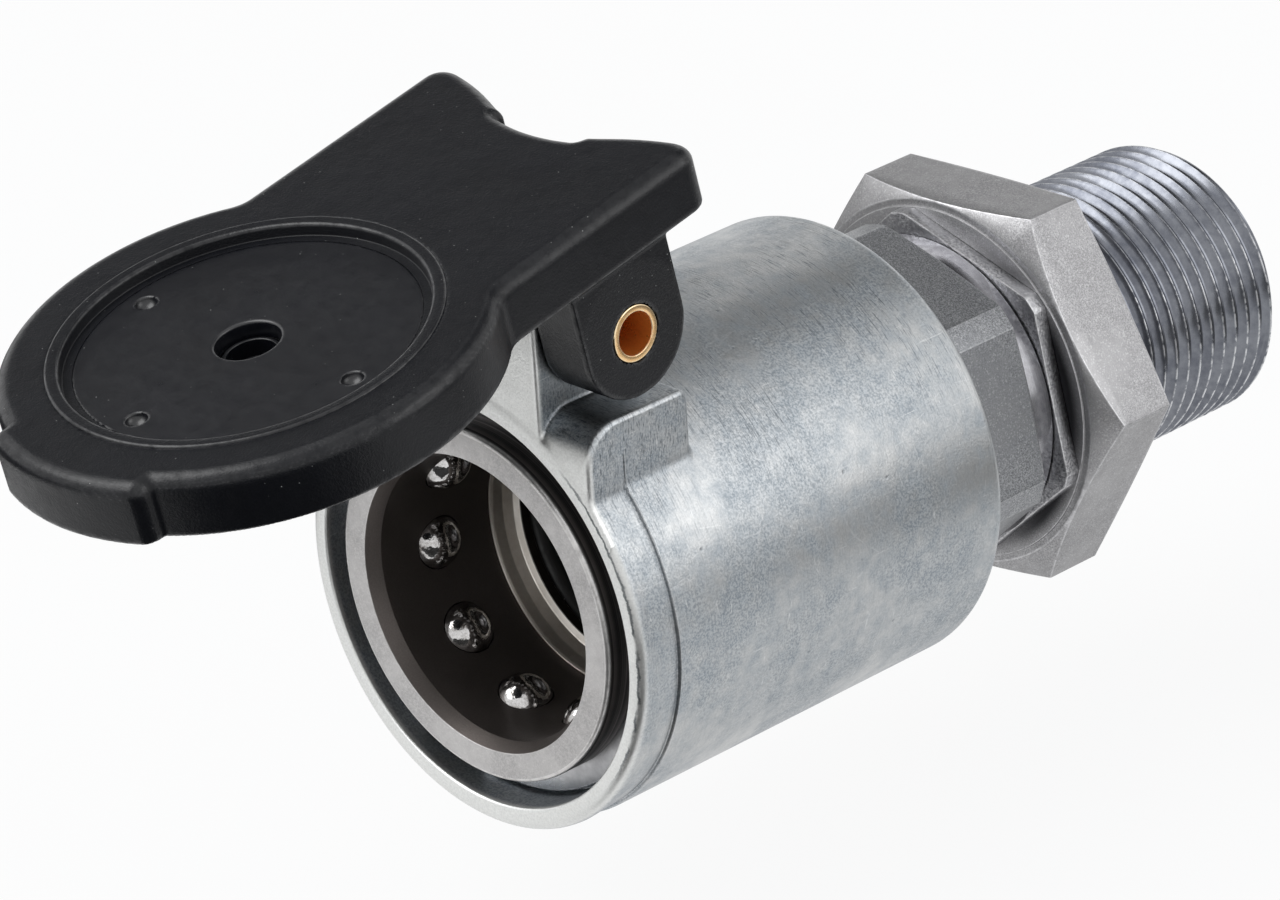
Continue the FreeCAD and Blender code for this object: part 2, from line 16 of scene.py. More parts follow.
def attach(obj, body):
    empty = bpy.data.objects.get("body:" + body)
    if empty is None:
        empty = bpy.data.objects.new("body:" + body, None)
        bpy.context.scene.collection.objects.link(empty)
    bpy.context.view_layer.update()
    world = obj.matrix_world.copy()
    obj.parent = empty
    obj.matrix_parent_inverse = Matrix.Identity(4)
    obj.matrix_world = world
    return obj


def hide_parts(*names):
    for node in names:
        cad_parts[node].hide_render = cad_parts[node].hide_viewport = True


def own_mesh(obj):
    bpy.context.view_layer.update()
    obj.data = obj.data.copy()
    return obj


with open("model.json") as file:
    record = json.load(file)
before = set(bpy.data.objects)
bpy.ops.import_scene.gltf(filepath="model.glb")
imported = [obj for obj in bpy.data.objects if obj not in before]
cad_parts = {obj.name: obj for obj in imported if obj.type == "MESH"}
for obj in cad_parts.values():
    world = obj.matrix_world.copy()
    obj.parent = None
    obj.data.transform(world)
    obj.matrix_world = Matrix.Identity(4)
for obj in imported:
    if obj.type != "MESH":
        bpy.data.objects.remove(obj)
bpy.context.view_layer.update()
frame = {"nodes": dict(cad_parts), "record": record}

LOG = logging.getLogger("coupling")
MM = 0.001
PANEL_SEAT = 54.0       # station of the origin, measured from the sleeve's rim
HINGE_STATION = 5.9     # station of the hinge's axis
HINGE_HEIGHT = 24.65    # its height over the coupling's axis
MERGE = 2e-6            # points of a shape closer than this become one, in metres
SLIVER = 1e-7           # edges shorter than this go, and a grown piece's points merge, in metres
WEAR_START = 0.25       # outward bend where wear starts, per millimetre
WEAR_SPAN = 1.5         # how much more bend it takes to wear fully
HEXAGON_ROWS = 32       # rows of points on each side of a hexagon
NUMBER = "NodeSocketFloat"
AIM = Vector((0.0, -0.02, 0.01))    # where the lamps and cards face, in metres
Colour = tuple[float, float, float]
Field = Callable[[np.ndarray], np.ndarray]
Socket = bpy.types.NodeSocket
Node = bpy.types.Node
Tree = bpy.types.NodeTree
Object = bpy.types.Object
Material = bpy.types.Material
Mesh = bpy.types.Mesh
Given = bpy.types.bpy_prop_collection
Pair = tuple[float, float]
Triple = tuple[float, float, float]


# Distances to surfaces, in millimetres, negative inside


def blend_min(a: np.ndarray, b: np.ndarray, k: float) -> np.ndarray:
    """Unite two shapes with a hollow fillet.

    Args:
        a: distances to the first shape.
        b: distances to the second shape.
        k: width of the fillet.
    Returns:
        Distances to the union.
    """
    h = np.clip(0.5 + 0.5 * (b - a) / k, 0.0, 1.0)
    return b * (1 - h) + a * h - k * h * (1 - h)


def blend_max(a: np.ndarray, b: np.ndarray, k: float) -> np.ndarray:
    """Keep what two shapes share, with a rounded edge of width k."""
    return -blend_min(-a, -b, k)


def corner(a: np.ndarray, b: np.ndarray, radius: float) -> np.ndarray:
    """Keep what two faces share, with an edge of a true radius.

    Args:
        a: distances to the first face.
        b: distances to the second face.
        radius: radius of the edge.
    Returns:
        Distances to the rounded shape.
    """
    qa = a + radius
    qb = b + radius
    return np.hypot(np.maximum(qa, 0), np.maximum(qb, 0)) + np.minimum(np.maximum(qa, qb), 0) - radius


def slopes(field: Field, points: np.ndarray) -> np.ndarray:
    """Measure the gradient of a distance field at each point.

    Args:
        field: the distance field.
        points: places, one row each.
    Returns:
        One gradient per row.
    """
    reach = 0.004
    rows = []
    for axis in range(3):
        shift = np.zeros(3)
        shift[axis] = reach
        rows.append((field(points + shift) - field(points - shift)) / (2 * reach))
    return np.stack(rows, -1)


class Solid:
    """Points and faces of closed shapes, in millimetres from the sleeve's rim."""

    def __init__(self, points: np.ndarray, faces: list[tuple[int, ...]]) -> None:
        """Keep the points and faces."""
        self.points = np.asarray(points, dtype=float)
        self.faces = faces

    def moved(self, change: Field) -> "Solid":
        """Return the shape with its points passed through a function."""
        return Solid(change(self.points), self.faces)

    @staticmethod
    def joined(solids: list["Solid"]) -> "Solid":
        """Put several shapes into one.

        Args:
            solids: the shapes.
        Returns:
            One shape that holds them all.
        """
        points = []
        faces = []
        start = 0
        for solid in solids:
            points.append(solid.points)
            faces += [tuple(i + start for i in face) for face in solid.faces]
            start += len(solid.points)
        return Solid(np.concatenate(points), faces)


def net(field: Field, low: Triple, high: Triple, step: float) -> Solid:
    """Wrap a distance field's zero surface in an even mesh of quads, and pull its points onto the surface.

    Args:
        field: the distance field.
        low: lowest corner of the space that is searched.
        high: highest corner of that space.
        step: size of a cell.
    Returns:
        The surface.
    """
    lines = [np.arange(a, b + step, step) for a, b in zip(low, high)]
    size = [len(line) for line in lines]
    grid = np.stack(np.meshgrid(*lines, indexing="ij"), -1)
    value = np.concatenate([field(sheet.reshape(-1, 3)).reshape(1, size[1], size[2]) for sheet in grid])
    cells = [n - 1 for n in size]
    total = np.zeros((*cells, 3))
    hits = np.zeros(cells)
    for axis in range(3):
        others = [i for i in range(3) if i != axis]
        for side in range(4):
            offset = [0, 0, 0]
            offset[others[0]] = side & 1
            offset[others[1]] = side >> 1
            here = tuple(slice(offset[i], offset[i] + cells[i]) for i in range(3))
            ahead = tuple(slice(s.start + (i == axis), s.stop + (i == axis)) for i, s in enumerate(here))
            a, b = value[here], value[ahead]
            cross = (a < 0) != (b < 0)
            part = np.where(cross, a / np.where(cross, a - b, 1), 0)
            place = grid[here].copy()
            place[..., axis] += part * step
            total += place * cross[..., None]
            hits += cross
    used = hits > 0
    number = np.full(cells, -1)
    number[used] = np.arange(int(used.sum()))
    points = total[used] / hits[used][:, None]
    faces = []
    for axis in range(3):
        u, v = [i for i in range(3) if i != axis]
        inner = tuple(slice(0, size[i] - 1) if i == axis else slice(1, size[i] - 1) for i in range(3))
        ahead = tuple(slice(1, size[i]) if i == axis else slice(1, size[i] - 1) for i in range(3))
        a, b = value[inner], value[ahead]
        where = np.argwhere((a < 0) != (b < 0))
        start = a[tuple(where.T)] < 0
        base = where + np.array([0 if i == axis else 1 for i in range(3)])
        ring = []
        for du, dv in ((1, 1), (0, 1), (0, 0), (1, 0)):
            cell = base.copy()
            cell[:, u] -= du
            cell[:, v] -= dv
            ring.append(number[tuple(cell.T)])
        quads = np.stack(ring, -1)
        turned = start if axis != 1 else ~start
        quads[~turned] = quads[~turned][:, ::-1]
        faces += [tuple(quad) for quad in quads.tolist()]
    for _ in range(4):
        slope = slopes(field, points)
        length = np.maximum((slope ** 2).sum(-1), 0.05)
        move = np.clip(field(points) / length, -step / 2, step / 2)
        points = points - slope * move[:, None]
    return Solid(points, faces)


def rounded(outline: list[Triple], steps: int = 4) -> list[Pair]:
    """Round the corners of a flat outline.

    Args:
        outline: corners as (across, along, radius).
        steps: pieces in each rounded corner.
    Returns:
        The outline's points.
    """
    made = []
    for i, (px, py, radius) in enumerate(outline):
        here = Vector((px, py))
        before = Vector(outline[i - 1][:2]) - here
        after = Vector(outline[(i + 1) % len(outline)][:2]) - here
        if radius <= 0:
            made.append((px, py))
            continue
        half = before.angle(after) / 2
        reach = min(radius / math.tan(half), 0.49 * min(before.length, after.length))
        radius = reach * math.tan(half)
        middle = here + (before.normalized() + after.normalized()).normalized() * (radius / math.sin(half))
        start = here + before.normalized() * reach - middle
        end = here + after.normalized() * reach - middle
        turn = start.angle_signed(end)
        for k in range(steps + 1):
            sine, cosine = math.sin(-turn * k / steps), math.cos(-turn * k / steps)
            spoke = Vector((start.x * cosine - start.y * sine, start.x * sine + start.y * cosine))
            made.append(tuple(middle + spoke))
    return made


def band_faces(columns: int, size: int, whole: bool) -> list[tuple[int, ...]]:
    """Join columns of points, each a closed outline, by quads.

    Args:
        columns: how many columns there are.
        size: points in a column.
        whole: whether the last column meets the first.
    Returns:
        The quads.
    """
    faces = []
    for c in range(columns if whole else columns - 1):
        d = (c + 1) % columns
        for i in range(size):
            j = (i + 1) % size
            faces.append((c * size + i, c * size + j, d * size + j, d * size + i))
    return faces


def round_outline(radius: float, station: float, wire: float, count: int) -> list[Pair]:
    """Outline a round wire's section.

    Args:
        radius: the section's middle, from the axis.
        station: the section's middle, along the axis.
        wire: the wire's radius.
        count: how many points.
    Returns:
        The points.
    """
    angles = [2 * math.pi * k / count for k in range(count)]
    return [(radius + wire * math.cos(a), station + wire * math.sin(a)) for a in angles]


def turned(outline: list[Pair], count: int = 192, first: float = 0.0, last: float = 360.0) -> Solid:
    """Turn a closed outline of (radius, station) points round the coupling's axis.

    Args:
        outline: the points in order.
        count: pieces in a full turn.
        first: angle in degrees where the shape starts, from the top.
        last: angle where it ends; less than a turn leaves an opening with closed ends.
    Returns:
        The turned shape.
    """
    whole = last - first >= 359.999
    columns = count if whole else max(2, int(count * (last - first) / 360)) + 1
    size = len(outline)
    flat = np.array(outline)
    angles = np.radians(first + (last - first) * np.arange(columns) / (columns if whole else columns - 1))
    points = np.stack([
        flat[None, :, 0] * np.sin(angles)[:, None],
        np.repeat(flat[None, :, 1], columns, 0),
        flat[None, :, 0] * np.cos(angles)[:, None],
    ], -1).reshape(-1, 3)
    faces = band_faces(columns, size, whole)
    if not whole:
        faces.append(tuple(range(size)))
        faces.append(tuple((columns - 1) * size + i for i in reversed(range(size))))
    return Solid(points, faces)


def turned_hexagon(outline: list[Pair], flats: float, turn: float, extra: tuple[float, ...] = ()) -> Solid:
    """A turned outline cut down to a hexagon, with the cut's edges lying exactly on points.

    Args:
        outline: closed outline of (radius, station) points.
        flats: distance across flats.
        turn: how far the flat on top is turned, in degrees.
        extra: more angles either side of each flat's middle that need a row of points.
    Returns:
        The shape.
    """
    steps = [60.0 * k / HEXAGON_ROWS - 30.0 for k in range(HEXAGON_ROWS)]
    steps += [sign * more for more in extra for sign in (-1, 1)]
    angles = {round((turn + 60.0 * side + step) % 360.0, 6) for side in range(6) for step in steps}
    rows = []
    for angle in sorted(angles):
        reach = flats / 2 / math.cos(math.radians((angle - turn + 30.0) % 60.0 - 30.0))
        a = math.radians(angle)
        for i, (r0, y0) in enumerate(outline):
            r1, y1 = outline[(i + 1) % len(outline)]
            start, end = (min(r0, reach), y0), (min(r1, reach), y1)
            if (r0 - reach) * (r1 - reach) < 0:
                meet = (reach, y0 + (y1 - y0) * (reach - r0) / (r1 - r0))
                start, end = (meet, end) if r0 > reach else (start, meet)
            for r, y in (start, end):
                rows.append((r * math.sin(a), y, r * math.cos(a)))
    return Solid(np.array(rows), band_faces(len(angles), 2 * len(outline), True))


class Body(Enum):
    """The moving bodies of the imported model."""

    ROOT = "body"
    SPRING_SEAT = "spring_seat"
    SLEEVE = "sleeve"
    CAP = "cap"
    POPPET = "poppet"
    NUT = "nut"


def mark_wear(mesh: Mesh) -> None:
    """Store on each face how sharply the surface turns outwards there, from 0 to 1.

    Args:
        mesh: the mesh.
    """
    work = bmesh.new()
    work.from_mesh(mesh)
    turn = np.zeros(len(work.faces))
    for edge in work.edges:
        if len(edge.link_faces) == 2:
            bend = edge.calc_face_angle_signed(0.0) * edge.calc_length()
            for face in edge.link_faces:
                turn[face.index] += bend
    area = np.array([max(face.calc_area(), 1e-12) for face in work.faces])
    work.free()
    sharp = np.clip((turn / (2 * area) * MM - WEAR_START) / WEAR_SPAN, 0.0, 1.0)
    layer = mesh.attributes.new("wear", "FLOAT", "FACE")
    layer.data.foreach_set("value", sharp.astype(np.float32))


def new_object(name: str, data: bpy.types.ID) -> Object:
    """Make an object and put it in the scene.

    Args:
        name: its name.
        data: its mesh, lamp or camera.
    Returns:
        The object.
    """
    made = bpy.data.objects.new(name, data)
    bpy.context.scene.collection.objects.link(made)
    return made


def evaluated_mesh(piece: Object) -> None:
    """Apply a piece's modifiers to its mesh and take them off.

    Args:
        piece: the piece.
    """
    graph = bpy.context.evaluated_depsgraph_get()
    graph.update()
    mesh = bpy.data.meshes.new_from_object(piece.evaluated_get(graph), depsgraph=graph)
    piece.modifiers.clear()
    piece.data = mesh


def clean(mesh: Mesh, merge: float, sliver: float = 0.0) -> None:
    """Merge points that coincide and turn the faces outward.

    Args:
        mesh: the mesh.
        merge: distance under which points become one, in metres.
        sliver: length under which an edge goes, in metres, or 0.
    """
    work = bmesh.new()
    work.from_mesh(mesh)
    bmesh.ops.remove_doubles(work, verts=work.verts, dist=merge)
    if sliver > 0:
        bmesh.ops.dissolve_degenerate(work, edges=work.edges, dist=sliver)
    bmesh.ops.recalc_face_normals(work, faces=work.faces)
    work.to_mesh(mesh)
    work.free()


def dressed(piece: Object, finishes: "Finishes", slot: str, body: Body, nodes: tuple[str, ...],
            finish: str = "", sharp: float = 32.0) -> None:
    """Shade a piece, give it its finish and tie it to its body.

    Args:
        piece: the piece, with its final mesh.
        finishes: the coupling's finishes.
        slot: the record's material slot.
        body: the body it moves with.
        nodes: the frame's nodes that it stands for.
        finish: its finish, where that isn't the slot's.
        sharp: angle in degrees past which an edge stays crisp.
    """
    mesh = piece.data
    mesh.materials.clear()
    mesh.materials.append(finishes[finish or slot])
    mesh.shade_smooth()
    mesh.set_sharp_from_angle(angle=math.radians(sharp))
    mark_wear(mesh)
    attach(piece, body.value)
    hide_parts(*nodes)
    LOG.info("%s: %d faces on %s", piece.name, len(mesh.polygons), body.value)


def solid_object(name: str, solid: Solid, bevel: float = 0.0) -> Object:
    """Make an object from a shape, cleaned, with its faces outward and its edges broken.

    Args:
        name: the piece's name.
        solid: the shape, from the sleeve's rim.
        bevel: width of the broken edges, in millimetres.
    Returns:
        The object.
    """
    mesh = bpy.data.meshes.new(name)
    points = (solid.points - np.array([0.0, PANEL_SEAT, 0.0])) * MM
    mesh.from_pydata(points.tolist(), [], solid.faces)
    clean(mesh, MERGE, SLIVER)
    piece = new_object(name, mesh)
    if bevel > 0:
        edge = piece.modifiers.new("edges", "BEVEL")
        edge.width = bevel * MM
        edge.segments = 2
        edge.limit_method = "ANGLE"
        edge.angle_limit = math.radians(24)
        evaluated_mesh(piece)
    return piece


def add_piece(name: str, solid: Solid, finishes: "Finishes", slot: str, body: Body, nodes: tuple[str, ...],
              finish: str = "", sharp: float = 32.0, bevel: float = 0.0) -> None:
    """Make a piece from a shape and dress it.

    Args:
        name: the piece's name.
        solid: the shape, from the sleeve's rim.
        finishes: the coupling's finishes.
        slot: the record's material slot.
        body: the body it moves with.
        nodes: the frame's nodes that it stands for.
        finish: its finish, where that isn't the slot's.
        sharp: angle in degrees past which an edge stays crisp.
        bevel: width of the broken edges, in millimetres.
    """
    dressed(solid_object(name, solid, bevel), finishes, slot, body, nodes, finish, sharp)


# Finishes


class Graph:
    """A node tree with short calls for the nodes that these finishes use."""

    def __init__(self, tree: Tree) -> None:
        """Keep the tree."""
        self.tree = tree

    def node(self, kind: str, **settings: object) -> Node:
        """Add a node and set its options.

        Args:
            kind: the node's type.
            settings: its options.
        Returns:
            The node.
        """
        made = self.tree.nodes.new(kind)
        for key, value in settings.items():
            setattr(made, key, value)
        return made

    def feed(self, socket: Socket, value: object) -> None:
        """Link a socket to another, or set its value.

        Args:
            socket: the socket.
            value: a socket or a value.
        """
        if isinstance(value, Socket):
            self.tree.links.new(value, socket)
        else:
            socket.default_value = value

    def fed(self, kind: str, options: dict[str, object] | None = None, **inputs: object) -> Node:
        """Add a node and feed its inputs, which are named here in small letters.

        Args:
            kind: the node's type.
            options: its options.
            inputs: what each input gets.
        Returns:
            The node.
        """
        made = self.node(kind, **(options or {}))
        for key, value in inputs.items():
            self.feed(made.inputs[key.replace("_", " ").title()], value)
        return made

    def maths(self, operation: str, a: object, b: object = 0.0, c: object = 0.0) -> Socket:
        """Work out one number from up to three.

        Args:
            operation: what is worked out.
            a: the first number.
            b: the second.
            c: the third.
        Returns:
            The result.
        """
        made = self.node("ShaderNodeMath", operation=operation)
        for socket, value in zip(made.inputs, (a, b, c)):
            self.feed(socket, value)
        return made.outputs[0]

    def between(self, value: object, low: float, high: float) -> Socket:
        """Rise smoothly from 0 at low to 1 at high.

        Args:
            value: the number.
            low: where the rise starts.
            high: where it ends.
        Returns:
            The risen number.
        """
        made = self.fed("ShaderNodeMapRange", {"interpolation_type": "SMOOTHSTEP"},
                        value=value, from_min=low, from_max=high)
        return made.outputs["Result"]

    def falling(self, value: object, low: float, high: float) -> Socket:
        """Fall smoothly from 1 at low to 0 at high."""
        return self.maths("SUBTRACT", 1.0, self.between(value, low, high))

    def times(self, first: object, *others: object) -> Socket:
        """Multiply numbers.

        Args:
            first: the first number.
            others: the rest.
        Returns:
            Their product.
        """
        for other in others:
            first = self.maths("MULTIPLY", first, other)
        return first

    def length(self, a: object, b: object) -> Socket:
        """Length of a line with these two legs."""
        return self.maths("SQRT", self.maths("ADD", self.times(a, a), self.times(b, b)))

    def from_hinge(self, place: object) -> Socket:
        """Distance from the hinge's axis, in millimetres.

        Args:
            place: the place, in millimetres.
        Returns:
            The distance.
        """
        _, y, z = self.parts(place)
        across = self.maths("ADD", y, PANEL_SEAT - HINGE_STATION)
        return self.length(across, self.maths("SUBTRACT", z, HINGE_HEIGHT))

    def cells(self, place: object, scale: object) -> tuple[Socket, Socket]:
        """Scatter round cells; give the distance from a cell's middle and its random tone."""
        made = self.fed("ShaderNodeTexVoronoi", {"feature": "F1"}, vector=place, scale=scale)
        return made.outputs["Distance"], self.parts(made.outputs["Color"])[0]

    def mix(self, factor: object, a: object, b: object) -> Socket:
        """Blend two colours.

        Args:
            factor: the second one's share.
            a: the first colour.
            b: the second colour.
        Returns:
            The blend.
        """
        made = self.node("ShaderNodeMix", data_type="RGBA")
        self.feed(made.inputs["Factor"], factor)
        for name, value in (("A", a), ("B", b)):
            socket = next(s for s in made.inputs if s.name == name and s.type == "RGBA")
            self.feed(socket, (*value, 1.0) if isinstance(value, tuple) else value)
        return next(s for s in made.outputs if s.type == "RGBA")

    def noise(self, vector: object, scale: object, detail: float = 2.0, roughness: float = 0.5) -> Socket:
        """Read even noise from 0 to 1, with its scale in waves per millimetre."""
        made = self.fed("ShaderNodeTexNoise", vector=vector, scale=scale, detail=detail, roughness=roughness)
        return made.outputs[0]

    def stretch(self, vector: object, by: Triple) -> Socket:
        """Scale a place along each axis.

        Args:
            vector: the place.
            by: the factors.
        Returns:
            The scaled place.
        """
        made = self.node("ShaderNodeVectorMath", operation="MULTIPLY")
        self.feed(made.inputs[0], vector)
        made.inputs[1].default_value = by
        return made.outputs[0]

    def parts(self, vector: object) -> tuple[Socket, Socket, Socket]:
        """Split a place into its three numbers."""
        return tuple(self.fed("ShaderNodeSeparateXYZ", vector=vector).outputs)

    def joined(self, x: object, y: object, z: object) -> Socket:
        """Make a place from three numbers."""
        return self.fed("ShaderNodeCombineXYZ", x=x, y=y, z=z).outputs[0]

    def use(self, group: Tree, **inputs: object) -> Node:
        """Add a shared effect and feed its inputs."""
        return self.fed("ShaderNodeGroup", {"node_tree": group}, **inputs)


def effect(name: str, inputs: dict[str, float], outputs: tuple[str, ...],
           build: Callable[[Graph, Given], tuple[Socket, ...]]) -> Tree:
    """Build a shared effect as a node group.

    Args:
        name: the group's name.
        inputs: each input's value, a plain number.
        outputs: the outputs' names, plain numbers too.
        build: wires the group from what it is given, and gives back one socket per output.
    Returns:
        The group.
    """
    tree = bpy.data.node_groups.new(name, "ShaderNodeTree")
    tree.interface.new_socket("Place", in_out="INPUT", socket_type="NodeSocketVector")
    for key, value in inputs.items():
        tree.interface.new_socket(key, in_out="INPUT", socket_type=NUMBER).default_value = value
    for key in outputs:
        tree.interface.new_socket(key, in_out="OUTPUT", socket_type=NUMBER)
    graph = Graph(tree)
    results = build(graph, graph.node("NodeGroupInput").outputs)
    graph.fed("NodeGroupOutput", **dict(zip(outputs, results)))
    return tree


class Effects:
    """The effects that more than one finish uses."""

    def __init__(self) -> None:
        """Build each group once."""
        self.worn = effect("worn_and_sheen_edges", {"Amount": 1.0}, ("Mask",), self.wire_wear_and_sheen)
        self.cloud = effect("clouded_plate", {"Size": 6.0}, ("Cloud", "Fine"), self.wire_cloud)
        self.grain = effect("fine_grain", {"Size": 0.2}, ("Height", "Spark"), self.wire_grain)
        self.dust = effect("settled_dust", {"Cover": 0.4}, ("Mask",), self.wire_dust)
        self.lathe = effect("lathe_lines", {"Pitch": 0.12}, ("Height",), self.wire_lathe)
        self.marks = effect("handling_marks", {"Amount": 1.0}, ("Scratch", "Pit"), self.wire_marks)
        self.brushed = effect("brushed_round", {"Cover": 0.5}, ("Line",), self.wire_brushed)

    @staticmethod
    def wire_wear_and_sheen(graph: Graph, given: Given) -> tuple[Socket, ...]:
        """Wear along outer edges, broken up by noise; the moulded finishes paint sheen with it too.

        Args:
            graph: the group's graph.
            given: the group's inputs.
        Returns:
            One socket per output.
        """
        edge = graph.node("ShaderNodeAttribute", attribute_name="wear").outputs["Fac"]
        broken = graph.noise(given["Place"], 1.3, 3.0)
        ragged = graph.times(edge, graph.between(broken, 0.25, 0.6))
        return (graph.times(ragged, given["Amount"]),)

    @staticmethod
    def wire_cloud(graph: Graph, given: Given) -> tuple[Socket, ...]:
        """Large soft patches and a finer mottle.

        Args:
            graph: the group's graph.
            given: the group's inputs.
        Returns:
            One socket per output.
        """
        scale = graph.maths("DIVIDE", 1.0, given["Size"])
        place = given["Place"]
        large = graph.noise(place, scale, 5.0, 0.62)
        fine = graph.noise(place, graph.times(scale, 7.0), 4.0, 0.65)
        return large, fine

    @staticmethod
    def wire_grain(graph: Graph, given: Given) -> tuple[Socket, ...]:
        """Blasted or moulded grain, and the few grains that catch the light.

        Args:
            graph: the group's graph.
            given: the group's inputs.
        Returns:
            One socket per output.
        """
        scale = graph.maths("DIVIDE", 1.0, given["Size"])
        height = graph.noise(given["Place"], scale, 2.0, 0.6)
        _, tone = graph.cells(given["Place"], scale)
        return height, graph.between(tone, 0.8, 1.0)

    @staticmethod
    def wire_dust(graph: Graph, given: Given) -> tuple[Socket, ...]:
        """Small pale specks, thinner in some places than in others.

        Args:
            graph: the group's graph.
            given: the group's inputs.
        Returns:
            One socket per output.
        """
        distance, tone = graph.cells(given["Place"], 1.5)
        dot = graph.falling(distance, 0.03, 0.1)
        kept = graph.maths("GREATER_THAN", given["Cover"], tone)
        patch = graph.between(graph.noise(given["Place"], 0.16, 2.0), 0.4, 0.6)
        return (graph.times(dot, kept, patch),)

    @staticmethod
    def wire_lathe(graph: Graph, given: Given) -> tuple[Socket, ...]:
        """Fine rings left by turning, the same all the way round.

        Args:
            graph: the group's graph.
            given: the group's inputs.
        Returns:
            One socket per output.
        """
        x, y, z = graph.parts(given["Place"])
        place = graph.joined(graph.length(x, z), y, 0.0)
        return (graph.noise(place, graph.maths("DIVIDE", 0.5, given["Pitch"]), 2.0, 0.7),)

    @staticmethod
    def wire_brushed(graph: Graph, given: Given) -> tuple[Socket, ...]:
        """Short fine lines that run round the axis, in patches.

        Args:
            graph: the group's graph.
            given: the group's inputs.
        Returns:
            One socket per output.
        """
        x, y, z = graph.parts(given["Place"])
        around = graph.times(graph.maths("ARCTAN2", x, z), 10.0)
        place = graph.joined(around, graph.times(y, 7.0), graph.times(graph.length(x, z), 2.0))
        lines = graph.between(graph.noise(place, 1.0, 3.0, 0.65), 0.5, 0.68)
        patch = graph.between(graph.noise(given["Place"], 0.11, 3.0), 0.36, 0.56)
        upper = graph.maths("MULTIPLY_ADD", graph.between(z, 6.0, 15.0), 0.8, 0.2)
        return (graph.times(lines, patch, upper, given["Cover"]),)

    @staticmethod
    def wire_marks(graph: Graph, given: Given) -> tuple[Socket, ...]:
        """Long faint scratches and small dark pits.

        Args:
            graph: the group's graph.
            given: the group's inputs.
        Returns:
            One socket per output.
        """
        place = given["Place"]
        lines = graph.noise(graph.stretch(place, (2.6, 0.16, 2.6)), 1.1, 3.0, 0.7)
        slant = graph.noise(graph.stretch(place, (0.5, 2.4, 0.5)), 1.3, 2.0, 0.6)
        scratch = graph.maths("MAXIMUM", graph.between(lines, 0.66, 0.74), graph.between(slant, 0.68, 0.76))
        webs = graph.fed("ShaderNodeTexVoronoi", {"feature": "DISTANCE_TO_EDGE"},
                         vector=graph.stretch(place, (1.0, 0.45, 1.0)), scale=0.42)
        hair = graph.falling(webs.outputs["Distance"], 0.006, 0.022)
        hair = graph.times(hair, graph.between(graph.noise(place, 0.7, 2.0), 0.54, 0.62), 0.45)
        scratch = graph.maths("MAXIMUM", scratch, hair)
        distance, tone = graph.cells(place, 0.55)
        pit = graph.times(graph.falling(distance, 0.04, 0.12), graph.between(tone, 0.45, 0.5))
        amount = given["Amount"]
        return graph.times(scratch, amount), graph.times(pit, amount)


class Grain(Enum):
    """How a metal's surface was left."""

    CAST = "cast"
    BLASTED = "blasted"
    TURNED = "turned"
    POLISHED = "polished"


class Region(Enum):
    """The part of a piece that has a second look; on the nut's face and inside the seat ring it is painted
    shade, on the thread's crests wear with a painted highlight.
    """

    NONE = "none"
    MOUTH_FACE = "mouth face"
    BORE = "bore"
    # Worn crests with a painted highlight.
    CREST_HIGHLIGHT = "crests of the thread"
    # Painted shade on the nut's front face next to the flange.
    NUT_FACE_SHADE = "front face of the nut"
    # Painted shade: the seat ring's inside, deep in the bore.
    SEAT_BORE_SHADE = "inside of the seat ring"
    TUBE_INSIDE = "inside of the tube"


def scaled(colour: Colour, factor: float) -> Colour:
    """Make a colour lighter or darker."""
    return tuple(c * factor for c in colour)


def new_material(name: str) -> tuple[Material, Graph, Node, Socket]:
    """Start a material.

    Args:
        name: its name.
    Returns:
        The material, its graph, its shader and the place on the piece in millimetres.
    """
    material = bpy.data.materials.new(name)
    material.use_nodes = True
    graph = Graph(material.node_tree)
    shader = next(n for n in material.node_tree.nodes if n.type == "BSDF_PRINCIPLED")
    place = graph.stretch(graph.node("ShaderNodeTexCoord").outputs["Object"], (1000.0, 1000.0, 1000.0))
    return material, graph, shader, place


def finish_surface(graph: Graph, shader: Node, colour: Socket, rough: Socket, height: Socket,
                   depth: float) -> None:
    """Feed a shader its colour, its roughness and its relief.

    Args:
        graph: the material's graph.
        shader: the shader.
        colour: the colour.
        rough: the roughness.
        height: the relief, about 0 to 1.
        depth: the relief's depth, in millimetres.
    """
    bump = graph.fed("ShaderNodeBump", distance=depth * MM, height=height)
    graph.feed(shader.inputs["Base Color"], colour)
    graph.feed(shader.inputs["Roughness"], rough)
    graph.feed(shader.inputs["Normal"], bump.outputs["Normal"])


